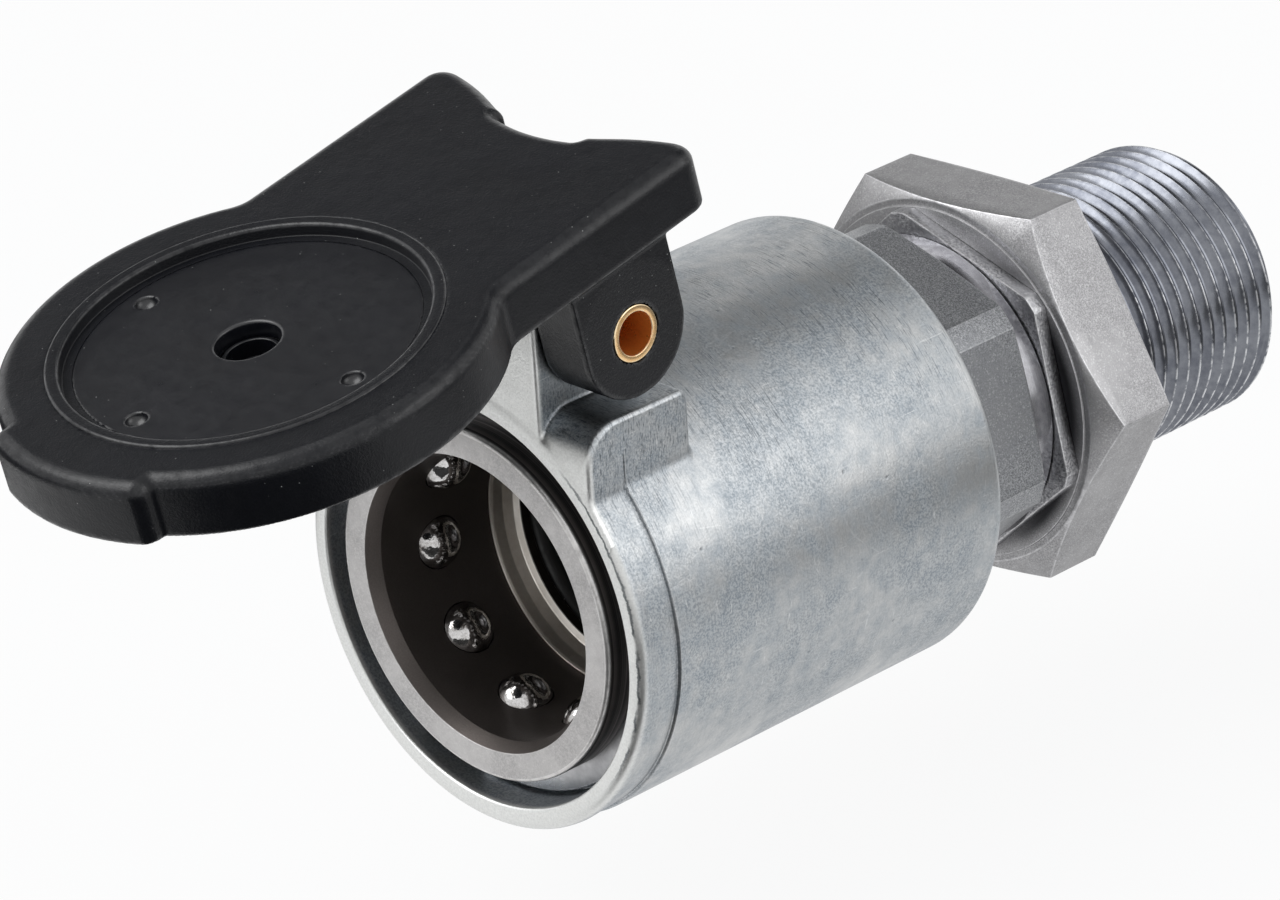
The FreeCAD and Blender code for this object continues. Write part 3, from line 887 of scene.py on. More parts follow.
@dataclass(frozen=True)
class MetalFinish:
    """A plated or bare metal, clouded, grained and worn along its edges."""

    name: str
    dark: Colour
    light: Colour
    worn: Colour = (0.86, 0.86, 0.87)
    roughness: float = 0.36
    spread: float = 0.14
    grain: Grain = Grain.BLASTED
    grain_size: float = 0.16
    grain_depth: float = 0.012
    cloud_size: float = 7.0
    marks: float = 0.0
    spark: float = 0.0
    speckle: float = 0.0
    wear: float = 1.0
    region: Region = Region.NONE
    second: Colour = (0.05, 0.05, 0.05)
    second_roughness: float = 0.5

    def region_mask(self, graph: Graph, place: Socket) -> Socket:
        """Find where the second look lies.

        Args:
            graph: the material's graph.
            place: the place on the piece, in millimetres.
        Returns:
            A mask, 1 in the region.
        """
        x, y, z = graph.parts(place)
        if self.region is Region.TUBE_INSIDE:
            return graph.falling(graph.from_hinge(place), 1.78, 1.86)
        radius = graph.length(x, z)
        if self.region is Region.MOUTH_FACE:
            return graph.falling(y, 0.25 - PANEL_SEAT, 0.75 - PANEL_SEAT)
        # Bright crests: wear and a painted highlight, weaker towards the top.
        if self.region is Region.CREST_HIGHLIGHT:
            broken = graph.between(graph.noise(place, 1.6, 2.0), 0.36, 0.6)
            low = graph.maths("MULTIPLY_ADD", graph.between(z, 4.0, 9.0), -0.75, 1.0)
            return graph.times(graph.between(radius, 11.9, 11.99), broken, low)
        # Painted shade: dark near the flange, fading outwards, on one side only (x from 2 to 11 mm).
        if self.region is Region.NUT_FACE_SHADE:
            return graph.times(
                graph.falling(radius, 14.0, 15.5), graph.falling(y, 0.3, 0.5), graph.between(x, 2.0, 11.0))
        # Painted shade on the seat ring's inner cylinder.
        if self.region is Region.SEAT_BORE_SHADE:
            return graph.falling(radius, 10.42, 10.5)
        return graph.falling(radius, 12.4, 12.5)

    @staticmethod
    def painted_rim_reflection(graph: Graph, place: Socket) -> Socket:
        """Find the painted dark reflection, a ragged line where the sleeve's face meets its rounded edge.

        Args:
            graph: the material's graph.
            place: the place on the piece, in millimetres.
        Returns:
            A mask, 1 on the line.
        """
        x, y, z = graph.parts(place)
        wander = graph.maths("MULTIPLY_ADD", graph.noise(place, 0.9, 4.0, 0.7), 0.7, graph.length(x, z))
        line = graph.times(graph.between(wander, 18.34, 18.42), graph.falling(wander, 18.52, 18.66))
        side = graph.times(graph.between(x, 9.0, 14.0), graph.between(z, -13.0, -7.0))
        broken = graph.between(graph.noise(place, 0.35, 2.0), 0.34, 0.44)
        near = graph.falling(y, 0.5 - PANEL_SEAT, 0.8 - PANEL_SEAT)
        return graph.times(line, near, side, broken)

    def flank_shade_and_lines(self, graph: Graph, effects: Effects, place: Socket, colour: Socket) -> Socket:
        """Paint shade on the cage's outer side, deep in the sleeve, and draw its turned lines.

        Args:
            graph: the material's graph.
            effects: the shared groups.
            place: the place on the piece, in millimetres.
            colour: the colour so far.
        Returns:
            The colour with the flank.
        """
        x, y, z = graph.parts(place)
        behind = graph.between(y, 0.25 - PANEL_SEAT, 0.45 - PANEL_SEAT)
        mask = graph.times(graph.between(graph.length(x, z), 14.68, 14.8), behind)
        lines = graph.use(effects.lathe, place=place, pitch=0.2).outputs["Height"]
        # Painted shade on the cage's outer side, with lighter turned lines in it.
        dark = graph.mix(graph.between(lines, 0.38, 0.66), scaled(self.second, 0.35),
                         scaled(self.second, 2.4))
        return graph.mix(graph.times(mask, 0.92), colour, dark)

    def build(self, effects: Effects) -> Material:
        """Wire the material.

        Args:
            effects: the shared groups.
        Returns:
            The material.
        """
        material, graph, shader, place = new_material(self.name)
        cloud = graph.use(effects.cloud, place=place, size=self.cloud_size)
        mottle = graph.maths("MULTIPLY_ADD", cloud.outputs["Fine"], 0.4,
                             graph.times(cloud.outputs["Cloud"], 0.6))
        tone = graph.between(mottle, 0.34, 0.66)
        colour = graph.mix(tone, self.dark, self.light)
        grain = graph.use(effects.grain, place=place, size=self.grain_size)
        height = grain.outputs["Height"]
        rough = graph.maths("MULTIPLY_ADD", tone, -self.spread, self.roughness + self.spread / 2)
        if self.grain is Grain.TURNED:
            height = graph.use(effects.lathe, place=place, pitch=self.grain_size).outputs["Height"]
            shade = graph.times(graph.between(height, 0.5, 0.75), 0.35)
            colour = graph.mix(shade, colour, self.light)
        if self.speckle > 0:
            patch = graph.maths("MULTIPLY_ADD", graph.between(cloud.outputs["Cloud"], 0.58, 0.42), 1.1, 0.5)
            amount = graph.times(patch, self.speckle)
            low = graph.mix(amount, colour, scaled(self.dark, 0.45))
            high = graph.mix(graph.times(amount, 0.7), colour, self.worn)
            colour = graph.mix(graph.between(grain.outputs["Height"], 0.34, 0.66), low, high)
        # Painted glints: the few grains that catch the light take the worn colour.
        if self.spark > 0:
            colour = graph.mix(graph.times(grain.outputs["Spark"], self.spark), colour, self.worn)
        if self.region is Region.BORE:
            colour = self.flank_shade_and_lines(graph, effects, place, colour)
        if self.marks > 0:
            brushed = graph.use(effects.brushed, place=place, cover=0.85).outputs["Line"]
            colour = graph.mix(brushed, colour, scaled(self.dark, 0.4))
            marks = graph.use(effects.marks, place=place, amount=self.marks)
            colour = graph.mix(graph.times(marks.outputs["Scratch"], 0.5), colour, self.worn)
            colour = graph.mix(graph.times(marks.outputs["Pit"], 0.6), colour, scaled(self.dark, 0.45))
            height = graph.maths("MULTIPLY_ADD", cloud.outputs["Fine"], 1.6, height)
            height = graph.maths("MULTIPLY_ADD", brushed, -0.5, height)
            height = graph.maths("SUBTRACT", height, graph.times(marks.outputs["Pit"], 1.2))
        if self.region is not Region.NONE:
            mask = self.region_mask(graph, place)
            second = graph.mix(grain.outputs["Height"], scaled(self.second, 0.8), scaled(self.second, 1.2))
            colour = graph.mix(mask, colour, second)
            rough = graph.maths("ADD", rough, graph.times(mask, self.second_roughness - self.roughness))
        if self.region is Region.MOUTH_FACE:
            # Painted dark reflection along the rim's rounded edge, on the lower right only.
            colour = graph.mix(graph.times(self.painted_rim_reflection(graph, place), 0.85), colour, (0.04, 0.055, 0.065))
        edge = graph.use(effects.worn, place=place, amount=self.wear).outputs["Mask"]
        if self.region is Region.BORE:
            edge = graph.times(edge, graph.maths("SUBTRACT", 1.0, mask))
        colour = graph.mix(edge, colour, self.worn)
        rough = graph.maths("SUBTRACT", rough, graph.times(edge, 0.1))
        finish_surface(graph, shader, colour, rough, height, self.grain_depth)
        shader.inputs["Metallic"].default_value = 1.0
        if self.region is Region.TUBE_INSIDE:
            graph.feed(shader.inputs["Metallic"], graph.maths("MULTIPLY_ADD", mask, -0.45, 1.0))
        return material


@dataclass(frozen=True)
class MouldedFinish:
    """A moulded plastic or rubber, with its grain, its edges lightened by rubbing and by painted sheen, and
    the dust on it.
    """

    name: str
    base: Colour
    edge: Colour
    roughness: float = 0.42
    edge_roughness: float = 0.3
    grain_size: float = 0.22
    grain_depth: float = 0.01
    dust: float = 0.3
    shine: float = 0.5
    coarse: float = 0.0
    rub_and_sheen: float = 1.0
    dust_colour: Colour = (0.3, 0.3, 0.29)

    def build(self, effects: Effects) -> Material:
        """Wire the material.

        Args:
            effects: the shared groups.
        Returns:
            The material.
        """
        material, graph, shader, place = new_material(self.name)
        cloud = graph.use(effects.cloud, place=place, size=9.0)
        grain = graph.use(effects.grain, place=place, size=self.grain_size)
        worn = graph.use(effects.worn, place=place, amount=self.rub_and_sheen)
        dust = graph.use(effects.dust, place=place, cover=self.dust)
        lift = graph.times(graph.between(cloud.outputs["Cloud"], 0.35, 0.7), 0.5)
        colour = graph.mix(lift, self.base, scaled(self.base, 1.6))
        # Edges lighten towards the edge colour: rubbed wear, and on the cap painted sheen along its rounded
        # edges.
        colour = graph.mix(graph.times(worn.outputs["Mask"], 0.6), colour, self.edge)
        colour = graph.mix(dust.outputs["Mask"], colour, self.dust_colour)
        rough = graph.maths("MULTIPLY_ADD", cloud.outputs["Fine"], 0.16, self.roughness - 0.08)
        smoother = self.edge_roughness - self.roughness
        rough = graph.maths("ADD", rough, graph.times(worn.outputs["Mask"], smoother))
        near = graph.falling(graph.from_hinge(place), 5.4, 6.4)
        wave = graph.times(grain.outputs["Height"], graph.maths("MULTIPLY_ADD", near, self.coarse, 1.0))
        wave = graph.maths("MULTIPLY_ADD", cloud.outputs["Cloud"], 6.0, wave)
        finish_surface(graph, shader, colour, rough, wave, self.grain_depth)
        graph.feed(shader.inputs["Coat Weight"], worn.outputs["Mask"])
        shader.inputs["Coat Roughness"].default_value = 0.24
        shader.inputs["Specular IOR Level"].default_value = self.shine
        return material


class Finishes:
    """Every finish of the coupling, under its slot's name."""

    def __init__(self) -> None:
        """Build the shared effects and the materials."""
        effects = Effects()
        looks = (
            MetalFinish("sleeve_zinc", (0.3, 0.34, 0.378), (0.5, 0.508, 0.51), (0.78, 0.79, 0.79), 0.4, 0.14,
                        Grain.CAST, 0.19, 0.016, 12.0, 0.8, speckle=0.22, wear=0.22, region=Region.MOUTH_FACE,
                        second=(0.75, 0.758, 0.745), second_roughness=0.42),
            MetalFinish("cage_steel", (0.45, 0.44, 0.44), (0.54, 0.53, 0.525), (0.75, 0.74, 0.73), 0.45, 0.08,
                        Grain.BLASTED, 0.13, 0.014, 5.0, spark=0.2, speckle=0.14, wear=0.7,
                        region=Region.BORE, second=(0.13, 0.115, 0.108), second_roughness=0.5),
            MetalFinish("ball_steel", (0.13, 0.11, 0.095), (0.6, 0.59, 0.58), roughness=0.15, spread=0.1,
                        grain=Grain.POLISHED, grain_size=0.6, grain_depth=0.04, cloud_size=1.2),
            # seat_nickel's colours are raised above the nickel's own: painted light for the lamp light
            # falling into the mouth.
            MetalFinish("seat_nickel", (0.74, 0.69, 0.62), (0.9, 0.86, 0.8), (0.95, 0.92, 0.88), 0.36, 0.06,
                        Grain.TURNED, 0.2, 0.003, 6.0, wear=0.12, region=Region.SEAT_BORE_SHADE,
                        # Near black: painted shade inside the seat ring.
                        second=(0.05, 0.044, 0.039)),
            MetalFinish("dark_steel", (0.07, 0.07, 0.07), (0.16, 0.16, 0.16), (0.4, 0.4, 0.4), 0.42, 0.1,
                        Grain.TURNED),
            MetalFinish("plain_steel", (0.34, 0.34, 0.35), (0.52, 0.52, 0.53), roughness=0.34,
                        grain=Grain.TURNED),
            MetalFinish("spring_steel", (0.35, 0.35, 0.36), (0.5, 0.5, 0.51), roughness=0.32,
                        grain=Grain.POLISHED),
            MetalFinish("adapter_zinc", (0.22, 0.228, 0.245), (0.28, 0.287, 0.3), (0.6, 0.61, 0.62), 0.42,
                        0.08, Grain.BLASTED, 0.12, 0.014, 9.0, spark=0.36, speckle=0.36, wear=0.3),
            MetalFinish("waist_steel", (0.27, 0.27, 0.295), (0.46, 0.46, 0.485), (0.8, 0.8, 0.82), 0.2, 0.05,
                        Grain.TURNED, 0.3, 0.01, 3.0),
            MetalFinish("flange_zinc", (0.26, 0.26, 0.275), (0.36, 0.36, 0.375), (0.75, 0.75, 0.76), 0.36,
                        0.08, Grain.BLASTED, 0.22, 0.05, 4.0, spark=0.3, speckle=0.35, wear=0.4),
            # nut_zinc's second colour is painted shade on the nut's front face by the flange.
            MetalFinish("nut_zinc", (0.29, 0.288, 0.295), (0.36, 0.358, 0.365), (0.78, 0.78, 0.8), 0.42, 0.08,
                        Grain.BLASTED, 0.12, 0.014, 9.0, spark=0.25, speckle=0.18, wear=0.4,
                        region=Region.NUT_FACE_SHADE, second=(0.03, 0.03, 0.033), second_roughness=0.36),
            # thread_zinc: the adapter's zinc darkened, painted shade among the thread's turns; its crests get
            # the painted highlight.
            MetalFinish("thread_zinc", (0.122, 0.13, 0.155), (0.23, 0.24, 0.265), (0.6, 0.61, 0.63), 0.24,
                        0.08, Grain.TURNED, 0.12, 0.004, 6.0, wear=0.0, region=Region.CREST_HIGHLIGHT,
                        second=(0.66, 0.67, 0.69), second_roughness=0.35),
            MetalFinish("hinge_brass", (0.72, 0.42, 0.16), (0.93, 0.62, 0.32), (0.97, 0.78, 0.5), 0.24, 0.08,
                        Grain.TURNED, 0.1, 0.004, 2.0, region=Region.TUBE_INSIDE, second=(0.72, 0.26, 0.05),
                        second_roughness=0.3),
            MouldedFinish("cap_black", (0.0024, 0.0028, 0.0045), (0.008, 0.009, 0.012), 0.36, 0.26, 0.18,
                          0.025, 0.4, 0.3, 2.2, 0.5),
            MouldedFinish("disc_black", (0.003, 0.0034, 0.0055), (0.006, 0.007, 0.01), 0.31, 0.26, 0.8,
                          0.001, 0.3, 0.7, 0.0, 0.1),
            MouldedFinish("black_rubber", (0.012, 0.012, 0.012), (0.02, 0.02, 0.02), 0.6, 0.5, 0.2, 0.01,
                          0.1),
            MouldedFinish("white_plastic", (0.7, 0.68, 0.63), (0.8, 0.78, 0.75), 0.45, 0.4, 0.3, 0.004, 0.0),
        )
        self.made = {look.name: look.build(effects) for look in looks}

    def __getitem__(self, name: str) -> Material:
        """Give the finish of a slot."""
        return self.made[name]


# Repeated pieces made with geometry nodes


def node_tree(name: str, inputs: dict[str, float]) -> tuple[Graph, Given]:
    """Start a geometry node tree.

    Args:
        name: its name.
        inputs: each input's value; a whole one makes an input for counts.
    Returns:
        The tree's graph and what the tree is given.
    """
    tree = bpy.data.node_groups.new(name, "GeometryNodeTree")
    tree.interface.new_socket("Geometry", in_out="INPUT", socket_type="NodeSocketGeometry")
    for key, value in inputs.items():
        kind = "NodeSocketInt" if isinstance(value, int) else NUMBER
        tree.interface.new_socket(key, in_out="INPUT", socket_type=kind).default_value = value
    tree.interface.new_socket("Finish", in_out="INPUT", socket_type="NodeSocketMaterial")
    tree.interface.new_socket("Geometry", in_out="OUTPUT", socket_type="NodeSocketGeometry")
    graph = Graph(tree)
    return graph, graph.node("NodeGroupInput").outputs


def end_tree(graph: Graph, given: Given, shape: Socket, turn: object = 0.0) -> Tree:
    """Close a tree: lay the shape along the coupling's axis at its station, realize it and set its finish.

    Args:
        graph: the tree's graph.
        given: what the tree is given.
        shape: the geometry so far, along Z.
        turn: a turn about the axis, in radians.
    Returns:
        The tree.
    """
    for kind, inputs in (
            ("GeometryNodeTransform", {"rotation": graph.joined(0.0, 0.0, turn)}),
            ("GeometryNodeTransform", {"rotation": (math.radians(-90), 0.0, 0.0),
                                       "translation": graph.joined(0.0, given["Station"], 0.0)}),
            ("GeometryNodeRealizeInstances", {}),
            ("GeometryNodeSetMaterial", {"material": given["Finish"]})):
        shape = graph.fed(kind, geometry=shape, **inputs).outputs["Geometry"]
    graph.fed("NodeGroupOutput", geometry=shape)
    return graph.tree


def ball_ring_tree() -> Tree:
    """Balls on a circle about the axis.

    Returns:
        The tree.
    """
    graph, given = node_tree("ball_ring", {
        "Count": 10, "Circle": 0.01, "Ball": 0.002, "Phase": 0.0, "Station": 0.0})
    circle = graph.fed("GeometryNodeMeshCircle", vertices=given["Count"], radius=given["Circle"])
    ball = graph.fed("GeometryNodeMeshUVSphere", segments=48, rings=32, radius=given["Ball"])
    put = graph.fed("GeometryNodeInstanceOnPoints", points=circle.outputs["Mesh"],
                    instance=ball.outputs["Mesh"])
    return end_tree(graph, given, put.outputs["Instances"], given["Phase"])


def coil_tree() -> Tree:
    """A round wire wound about the axis.

    Returns:
        The tree.
    """
    graph, given = node_tree("wound_wire", {
        "Turns": 5.0, "Coil": 0.01, "Wire": 0.001, "Rise": 0.02, "Station": 0.0})
    spiral = graph.fed("GeometryNodeCurveSpiral", resolution=48, rotations=given["Turns"],
                       start_radius=given["Coil"], end_radius=given["Coil"], height=given["Rise"])
    wire = graph.fed("GeometryNodeCurvePrimitiveCircle", resolution=16, radius=given["Wire"])
    sweep = graph.fed("GeometryNodeCurveToMesh", curve=spiral.outputs["Curve"],
                      profile_curve=wire.outputs["Curve"], fill_caps=True)
    return end_tree(graph, given, sweep.outputs["Mesh"])


def pressed(spring: Object) -> None:
    """Give a spring a mesh of its own.

    Args:
        spring: the spring.
    """
    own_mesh(spring)


def grown(name: str, tree: Tree, material: Material, **values: float) -> Object:
    """Run a geometry node tree and keep its result as a plain mesh.

    Args:
        name: the piece's name.
        tree: the tree.
        material: its finish.
        values: the tree's inputs.
    Returns:
        The object.
    """
    piece = new_object(name, bpy.data.meshes.new(name))
    modifier = piece.modifiers.new("grow", "NODES")
    modifier.node_group = tree
    settings = {**values, "finish": material}
    for socket in tree.interface.items_tree:
        if socket.in_out == "INPUT" and socket.name.lower() in settings:
            modifier[socket.identifier] = settings[socket.name.lower()]
    evaluated_mesh(piece)
    clean(piece.data, SLIVER)
    return piece


# The coupling's own pieces


@dataclass
class Sleeve:
    """The die-cast sliding sleeve, its head, its locking ring and the hinge tube."""

    radius: float = 19.0
    collar_radius: float = 18.65
    collar_length: float = 3.8
    length: float = 40.5
    bore: float = 17.2
    rim_bore: float = 17.05
    rib_bore: float = 16.05
    rib_start: float = 4.12
    rib_end: float = 5.32
    pedestal_half: float = 14.1
    pedestal_top: float = 18.4
    pedestal_length: float = 11.0
    nose: float = 3.4
    boss_half: float = 8.9
    hinge_station: float = HINGE_STATION
    hinge_height: float = HINGE_HEIGHT
    tube_radius: float = 2.3
    tube_wall: float = 0.55
    tube_half: float = 14.1
    sunk: float = 0.03
    sag: float = 0.34
    sag_top: float = 6.0
    sag_span: float = 24.0
    fillet: float = 0.5
    boss_fillet: float = 0.3

    def barrel(self) -> Solid:
        """The turned part with its collar, which the casting set a little low, and its inner rib.

        Returns:
            The shape.
        """
        def lowered(p: np.ndarray) -> np.ndarray:
            """Move the collar's outside down, most at the bottom.

            Args:
                p: places, from the sleeve's rim.
            Returns:
                The moved places.
            """
            far = np.hypot(p[:, 0], p[:, 2])
            part = np.clip((self.sag_top - p[:, 2]) / self.sag_span, 0, 1) * np.clip((far - 17.3) / 1.2, 0, 1)
            part = part * (p[:, 1] < self.collar_length - 0.15)
            return p - np.stack([0 * far, 0 * far, self.sag * part], -1)

        return turned(rounded([
            (self.rim_bore, 0, 0.25), (self.collar_radius, 0, 0.8),
            (self.collar_radius, self.collar_length, 0.12),
            (self.radius, self.collar_length, 0.14), (self.radius, self.length, 0.9),
            (self.bore, self.length, 0.3),
            (self.bore, self.rib_end, 0.1), (self.rib_bore, self.rib_end, 0.1),
            (self.rib_bore, self.rib_start, 0.1), (self.rim_bore, self.rib_start, 0.1),
        ], 6), 288).moved(lowered)

    def head_field(self, p: np.ndarray) -> np.ndarray:
        """Distance to the pedestal and the boss, run into the barrel with soft fillets.

        Args:
            p: places, from the sleeve's rim.
        Returns:
            The distances.
        """
        x, y, z = p.T
        radial = np.hypot(x, z)
        skin = np.where(y < self.collar_length, self.collar_radius, self.radius) - self.sunk
        barrel = radial - skin
        nose = corner(z - self.pedestal_top, -y, self.nose)
        side = corner(nose, y - self.pedestal_length, 0.9)
        waisted = np.where(y < self.collar_length, 0.08 * np.clip((17.2 - z) / 2.5, 0, 1), 0.0)
        pedestal = corner(side, np.abs(x) - (self.pedestal_half - waisted), 0.5)
        hinge = np.hypot(y - self.hinge_station, z - self.hinge_height)
        web = corner(np.abs(y - self.hinge_station) - self.hinge_station, z - self.hinge_height, 0.0)
        boss = corner(np.minimum(hinge - self.hinge_station, web), np.abs(x) - self.boss_half, 0.35)
        shape = blend_min(blend_min(barrel, pedestal, self.fillet), boss, self.boss_fillet)
        shape = blend_max(shape, -y - 0.005, self.boss_fillet)
        shape = np.maximum(shape, 17.6 - radial)
        shape = np.maximum(shape, np.maximum(9.0 - z, y - 14.0))
        return np.maximum(shape, self.tube_radius + 0.02 - hinge)

    def build(self, finishes: Finishes) -> None:
        """Build the sleeve's pieces.

        Args:
            finishes: the coupling's finishes.
        """
        head = net(self.head_field, (-16.0, -0.6, 8.6), (16.0, 14.4, 31.2), 0.18)
        add_piece("outer_sleeve", Solid.joined([self.barrel(), head]), finishes, "sleeve_zinc", Body.SLEEVE,
                  ("outer_sleeve",))
        lock = turned(rounded([
            (15.77, 5.34, 0.1), (17.18, 5.34, 0.0), (17.18, 11.32, 0.0), (15.17, 11.32, 0.2),
            (15.17, 6.52, 0.2)]))
        add_piece("locking_ring", lock, finishes, "dark_steel", Body.SLEEVE, ("locking_ring",))
        outline = rounded([
            (self.tube_radius, -self.tube_half, 0.12), (self.tube_radius, self.tube_half, 0.12),
            (self.tube_radius - self.tube_wall, self.tube_half, 0.1),
            (self.tube_radius - self.tube_wall, -self.tube_half, 0.1)])
        tube = turned(outline, 96).moved(lambda p: np.stack(
            [p[:, 1], p[:, 0] + self.hinge_station, p[:, 2] + self.hinge_height], -1))
        add_piece("hinge_tube", tube, finishes, "hinge_brass", Body.SLEEVE, ("hinge_tube",))


@dataclass
class ValveBody:
    """The ball cage and all that sits in it."""

    cage_radius: float = 14.87
    bore: float = 11.86
    ball_count: int = 10
    ball_radius: float = 2.38
    ball_circle: float = 12.69
    ball_station: float = 7.4
    ball_phase: float = 14.2
    seat_station: float = 12.84

    def cage(self) -> Solid:
        """The turned cage and body, without the balls' holes.

        Returns:
            The shape.
        """
        return turned(rounded([
            (12.45, 0, 0.08), (self.cage_radius, 0, 0.35), (self.cage_radius, 3.0, 0.05), (13.97, 3.0, 0.0),
            (13.97, 4.12, 0.0), (self.cage_radius, 4.12, 0.05), (self.cage_radius, 12.6, 0.1),
            (14.2, 13.27, 0.0), (14.2, 32.0, 0.0), (11.0, 32.0, 0.0), (11.0, 42.0, 0.0), (9.2, 42.0, 0.0),
            (9.2, 29.4, 0.1), (6.8, 27.0, 0.1), (6.8, 25.0, 0.1), (10.4, 23.5, 0.1), (10.4, 19.5, 0.05),
            (12.66, 19.5, 0.0), (12.66, 16.04, 0.0), (11.8, 16.04, 0.0), (11.8, self.seat_station, 0.0),
            *((self.bore, y, 0.0) for y in (self.seat_station, 11.2, 9.6, 8.4, 7.4, 6.4, 5.2, 3.4)),
            (self.bore, 1.25, 0.15),
        ], 3), 240)

    def holes(self) -> Solid:
        """Round sockets for the balls, as one shape to cut away.

        Returns:
            The shape.
        """
        arc = [math.radians(a) for a in range(-90, 91, 9)]
        reach = self.ball_radius + 0.07
        ball = turned([(reach * max(math.cos(a), 0.0), reach * math.sin(a)) for a in arc], 48)
        cutters = []
        for i in range(self.ball_count):
            a = math.radians(self.ball_phase + 360.0 / self.ball_count * i)
            across, up = self.ball_circle * math.sin(a), self.ball_circle * math.cos(a)
            cutters.append(ball.moved(lambda p, c=np.array([across, self.ball_station, up]): p + c))
        return Solid.joined(cutters)

    def build(self, finishes: Finishes) -> None:
        """Build the body's pieces.

        Args:
            finishes: the coupling's finishes.
        """
        cage = solid_object("ball_cage", self.cage())
        cutter = solid_object("ball_holes", self.holes())
        cut = cage.modifiers.new("holes", "BOOLEAN")
        cut.object = cutter
        cut.operation = "DIFFERENCE"
        cut.solver = "EXACT"
        evaluated_mesh(cage)
        bpy.data.objects.remove(cutter)
        dressed(cage, finishes, "cage_steel", Body.ROOT, ("coupling_body",))
        balls = grown("locking_balls", ball_ring_tree(), finishes["ball_steel"], count=self.ball_count,
                      circle=self.ball_circle * MM, ball=self.ball_radius * MM,
                      phase=math.radians(self.ball_phase - 90), station=(self.ball_station - PANEL_SEAT) * MM)
        dressed(balls, finishes, "ball_steel", Body.ROOT, ("locking_balls",))
        seat = turned(rounded([
            (11.78, self.seat_station, 0.1), (11.78, 16.0, 0.0), (10.4, 16.0, 0.1), (10.4, 15.1, 0.12),
            (11.0, 14.85, 0.2), (11.35, 14.0, 0.8), (11.5, 13.1, 0.3), (11.62, 12.86, 0.05)], 6), 240)
        add_piece("seat_ring", seat, finishes, "seat_nickel", Body.ROOT, ("seat_ring",))
        stop = turned(rounded([
            (14.0, 3.01, 0.1), (16.75, 3.01, 0.2), (16.75, 4.11, 0.2), (14.0, 4.11, 0.1)]), 240, 216.0, 552.0)
        add_piece("stop_ring", stop, finishes, "spring_steel", Body.ROOT, ("stop_ring",))
        seal = turned(round_outline(11.42, 17.28, 1.22, 24), 160)
        add_piece("bore_seal", seal, finishes, "black_rubber", Body.ROOT, ("bore_seal",))
        poppet = turned(rounded([
            (0.0, 19.8, 0.0), (4.0, 19.8, 0.6), (4.0, 26.7, 0.1), (6.3, 26.7, 0.1), (6.3, 27.3, 0.1),
            (8.5, 29.5, 0.2), (8.5, 31.0, 0.2), (3.0, 31.0, 0.2), (3.0, 47.5, 0.6), (0.0, 47.5, 0.0)]), 96)
        add_piece("poppet", poppet, finishes, "plain_steel", Body.POPPET, ("poppet",))
        coil = coil_tree()
        spring = grown("sleeve_spring", coil, finishes["spring_steel"], turns=5.5, coil=15.95 * MM,
                       wire=0.75 * MM, rise=17.7 * MM, station=(12.1 - PANEL_SEAT) * MM)
        dressed(spring, finishes, "spring_steel", Body.SPRING_SEAT, ("sleeve_spring",))
        pressed(spring)
        spring = grown("poppet_spring", coil, finishes["spring_steel"], turns=3.5, coil=5.1 * MM,
                       wire=0.5 * MM, rise=9.96 * MM, station=(31.52 - PANEL_SEAT) * MM)
        dressed(spring, finishes, "spring_steel", Body.ROOT, ("poppet_spring",))
        pressed(spring)


